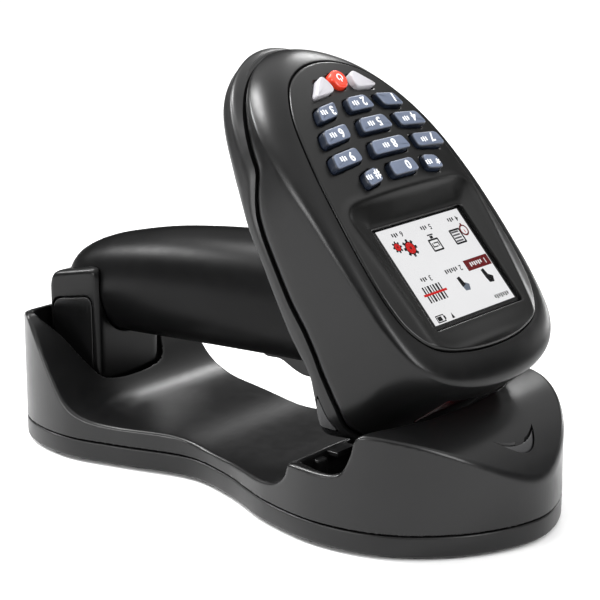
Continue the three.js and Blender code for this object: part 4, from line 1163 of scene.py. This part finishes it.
for name, slot, u, v, outline in KEYS:
    body = f"key_{name}"
    base = float(crown(np.array(u), np.array(v)))
    top = base + KEY_PROUD
    edge = WHITE_KEY_EDGE if slot == "key_white" else KEY_EDGE
    rings = pillow(outline(0), base + KEY_FOOT, top, 0.2, edge, 7)
    rings.append(level(inward(outline(0), edge * 1.5), top + 0.03))
    finish_as(make(f"{body}_look", *net(rings), HEAD), slot, body, body)
    lift = top + SIGN_LIFT
    if slot == "key_grey":
        sign = {"hash": "#", "star": "*"}.get(name, name)
        glyph(f"{body}_sign", sign, SIGN_SIZE, legend_place(u - 0.1, v + 1.9, lift), INK, body, 0.1)
        for k, tall in enumerate(() if name in ("0", "1") else (1.5, 1.9, 1.5)):
            mark = rectangle(tall, 0.6, u + 0.15, v - 1.3 - 1.15 * k)
            raised(f"{body}_mark_{k}", mark, lift - 0.03, lift + 0.02, INK, body)
    if name == "power":
        low, high = lift - 0.02, lift + 0.06
        outside, inside = POWER_SIGN_RADII
        section = ((outside, low), (inside, low), (inside, high), (outside, high))
        arc = [
            [(POWER_U - 0.3 - r * math.cos(a), r * math.sin(a), w) for r, w in section]
            for a in np.linspace(-POWER_SIGN_TURN, POWER_SIGN_TURN, 28)
        ]
        dress(make("key_power_ring", *net(arc), HEAD), INK, body)
        raised("key_power_bar", rectangle(1.3, 0.4, POWER_U + 0.75, 0), low, high, INK, body)

# ---- grip

grip = make("grip_shell_look", *net(grip_rings(0)))
carve(grip, side_prism([*GRIP_CUT, (140, 80), (-40, 80)], -60, 60, HEAD))
slot_half = TRIGGER_HALF + 0.6
for x, low, high in TRIGGER_SLOT:
    carve(grip, brick(x, 32, -slot_half, slot_half, low, high))
dress(resharpen(grip, 50), GRIP_BLACK, "scanner", ("grip_shell",))

blade = pillow(spline(TRIGGER_PROFILE, True, 160), -TRIGGER_HALF, TRIGGER_HALF, 0.8, 0.8)
finish_as(make("trigger_look", *net(on_side(blade))), "case_black", "trigger", "trigger")

foot_corners = [
    (FOOT_REAR, FOOT_BOTTOM), (FOOT_FRONT, FOOT_BOTTOM),
    (FOOT_FRONT, FOOT_FRONT_TOP), (FOOT_REAR, FOOT_REAR_TOP),
]
foot_side = Field(rounded(foot_corners, FOOT_SIDE_CORNER), 0.4)
foot_base = rectangle(FOOT_FRONT - FOOT_REAR, 2 * FOOT_HALF, (FOOT_FRONT + FOOT_REAR) / 2)
foot_plan = Field(rounded(foot_base, FOOT_PLAN_CORNER), 0.4)
panel_seat = Field(rounded(grown(FOOT_PANEL, 0.35), 4), 0.3, 4)
grip_table = spline(GRIP_STATIONS, False, 400)


def foot_field(x, y, z):
    body = both(foot_plan(x, y), foot_side(x, z), FOOT_EDGE)
    near = np.abs(y)
    panel = np.maximum(panel_seat(x, z), FOOT_HALF - PANEL_SEAT_DEPTH - near)
    body = both(body, -panel, 0.3)
    height, wide, tall = (np.interp(x, grip_table[:, 0], grip_table[:, k]) for k in (1, 2, 3))
    grip_gap = (np.hypot(y / (wide + GAP), (z - height) / (tall + GAP)) - 1) * np.minimum(wide, tall)
    grip_gap = np.where(x < GRIP_STATIONS[0][0], 5.0, grip_gap)
    body = both(body, -grip_gap, 0.3)
    from_pin = (np.abs(c - pin) - half for c, pin, half in zip((x, near), CHARGE_PIN, CONTACT_HALF))
    return np.maximum(body, -np.maximum(np.maximum(*from_pin), z - FOOT_BOTTOM - CONTACT_DEPTH))


foot = skinned("grip_foot_look", foot_field, (-98.8, -16.1, 11), (-71.8, 16.1, 65), 0.55)
dress(foot, FOOT_BLACK, "scanner", ("grip_foot",))
for side, word in WORDS:
    rings = on_side(pillow(rounded(FOOT_PANEL, 4), FOOT_HALF - 1.2, FOOT_HALF, 0, 0.35))
    panel = make(f"foot_panel_{word}_look", *net([r * (1, side, 1) for r in rings]))
    finish_as(panel, "case_black", "scanner", f"foot_panel_{word}")

# ---- CAD nodes that show as they are

SLOT_OF = {p["node"]: p["material_slot"] for p in frame["record"]["subparts"]}
for name, node in frame["nodes"].items():
    if node.hide_render:
        continue
    node.data.materials.clear()
    node.data.materials.append(FINISH[SLOT_OF[name]])
    bevel = node.modifiers.new("edge", "BEVEL")
    bevel.width = 0.15 * MM
    bevel.segments = 2
    bevel.limit_method = "ANGLE"
    bevel.angle_limit = math.radians(50)

# ---- floor, light and camera, in metres

FLOOR_SIZE = 24
SKY_SPAN, SKY_STRENGTH = (0.30, 0.85), 1.55
# name, place, target, length, width and watts of every lamp
LIGHTS = [
    ("key_light", (-0.62, -0.2, 0.9), (0, 0, 0.08), 0.3, 0.2, 10),
    ("rim_light", (-0.4, 0.88, 0.72), (0, 0, 0.06), 0.25, 0.15, 2.4),
    ("low_back_light", (0.15, 1.2, 0.17), (0.05, 0, 0.1), 0.2, 0.2, 1.6),
    ("front_light", (0.9, -0.15, 0.5), (0.06, 0, 0.05), 0.3, 0.5, 6.5),
    ("shoulder_light", (-0.28, -1.0, 0.34), (0.02, 0, 0.1), 0.4, 0.2, 6),
    ("grip_light", (-0.95, -0.32, 0.62), (-0.05, 0, 0.07), 0.2, 0.1, 7),
]
CAMERA_PLACE = Vector((0.4144, -0.507705, 0.238864))
CAMERA_BACK = Vector((0.60411, -0.75270, 0.26168))


def emitter(name, place, target, length, width, power):
    """Lamp that lights the part but isn't seen itself."""
    light = bpy.data.lights.new(name, "AREA")
    light.shape = "RECTANGLE"
    light.size, light.size_y = length, width
    light.energy = power
    obj = linked(name, light)
    obj.location = place
    obj.rotation_euler = (Vector(target) - Vector(place)).to_track_quat("-Z", "Y").to_euler()
    obj.visible_camera = False


floor_mesh = bpy.data.meshes.new("floor")
floor_corners = [(x, y, 0) for x, y in rectangle(FLOOR_SIZE, FLOOR_SIZE)]
floor_mesh.from_pydata(floor_corners, [], [(0, 1, 2, 3)])
floor = linked("floor", floor_mesh)
floor.data.materials.append(plastic("floor_paper", (0.9, 0.9, 0.9), 0.7, vary=0.004))

world = bpy.context.scene.world or bpy.data.worlds.new("world")
bpy.context.scene.world = world
world.use_nodes = True
sky = world.node_tree
direction = add(sky, "ShaderNodeTexCoord").outputs["Generated"]
height = add(sky, "ShaderNodeSeparateXYZ", {"Vector": direction}).outputs["Z"]
fade = ramp(sky, height, (0.02, 0.02, 0.02), (1, 1, 1), SKY_SPAN, "EASE")
feed(sky, sky.nodes["Background"], {"Color": fade, "Strength": SKY_STRENGTH})

for light in LIGHTS:
    emitter(*light)

camera = linked("camera", bpy.data.cameras.new("camera"))
camera.data.lens, camera.data.sensor_width, camera.data.clip_end = 120, 36, 60
camera.location = CAMERA_PLACE
camera.rotation_euler = (-CAMERA_BACK).to_track_quat("-Z", "Y").to_euler()
bpy.context.scene.camera = camera
bpy.context.scene.view_settings.view_transform = "Standard"
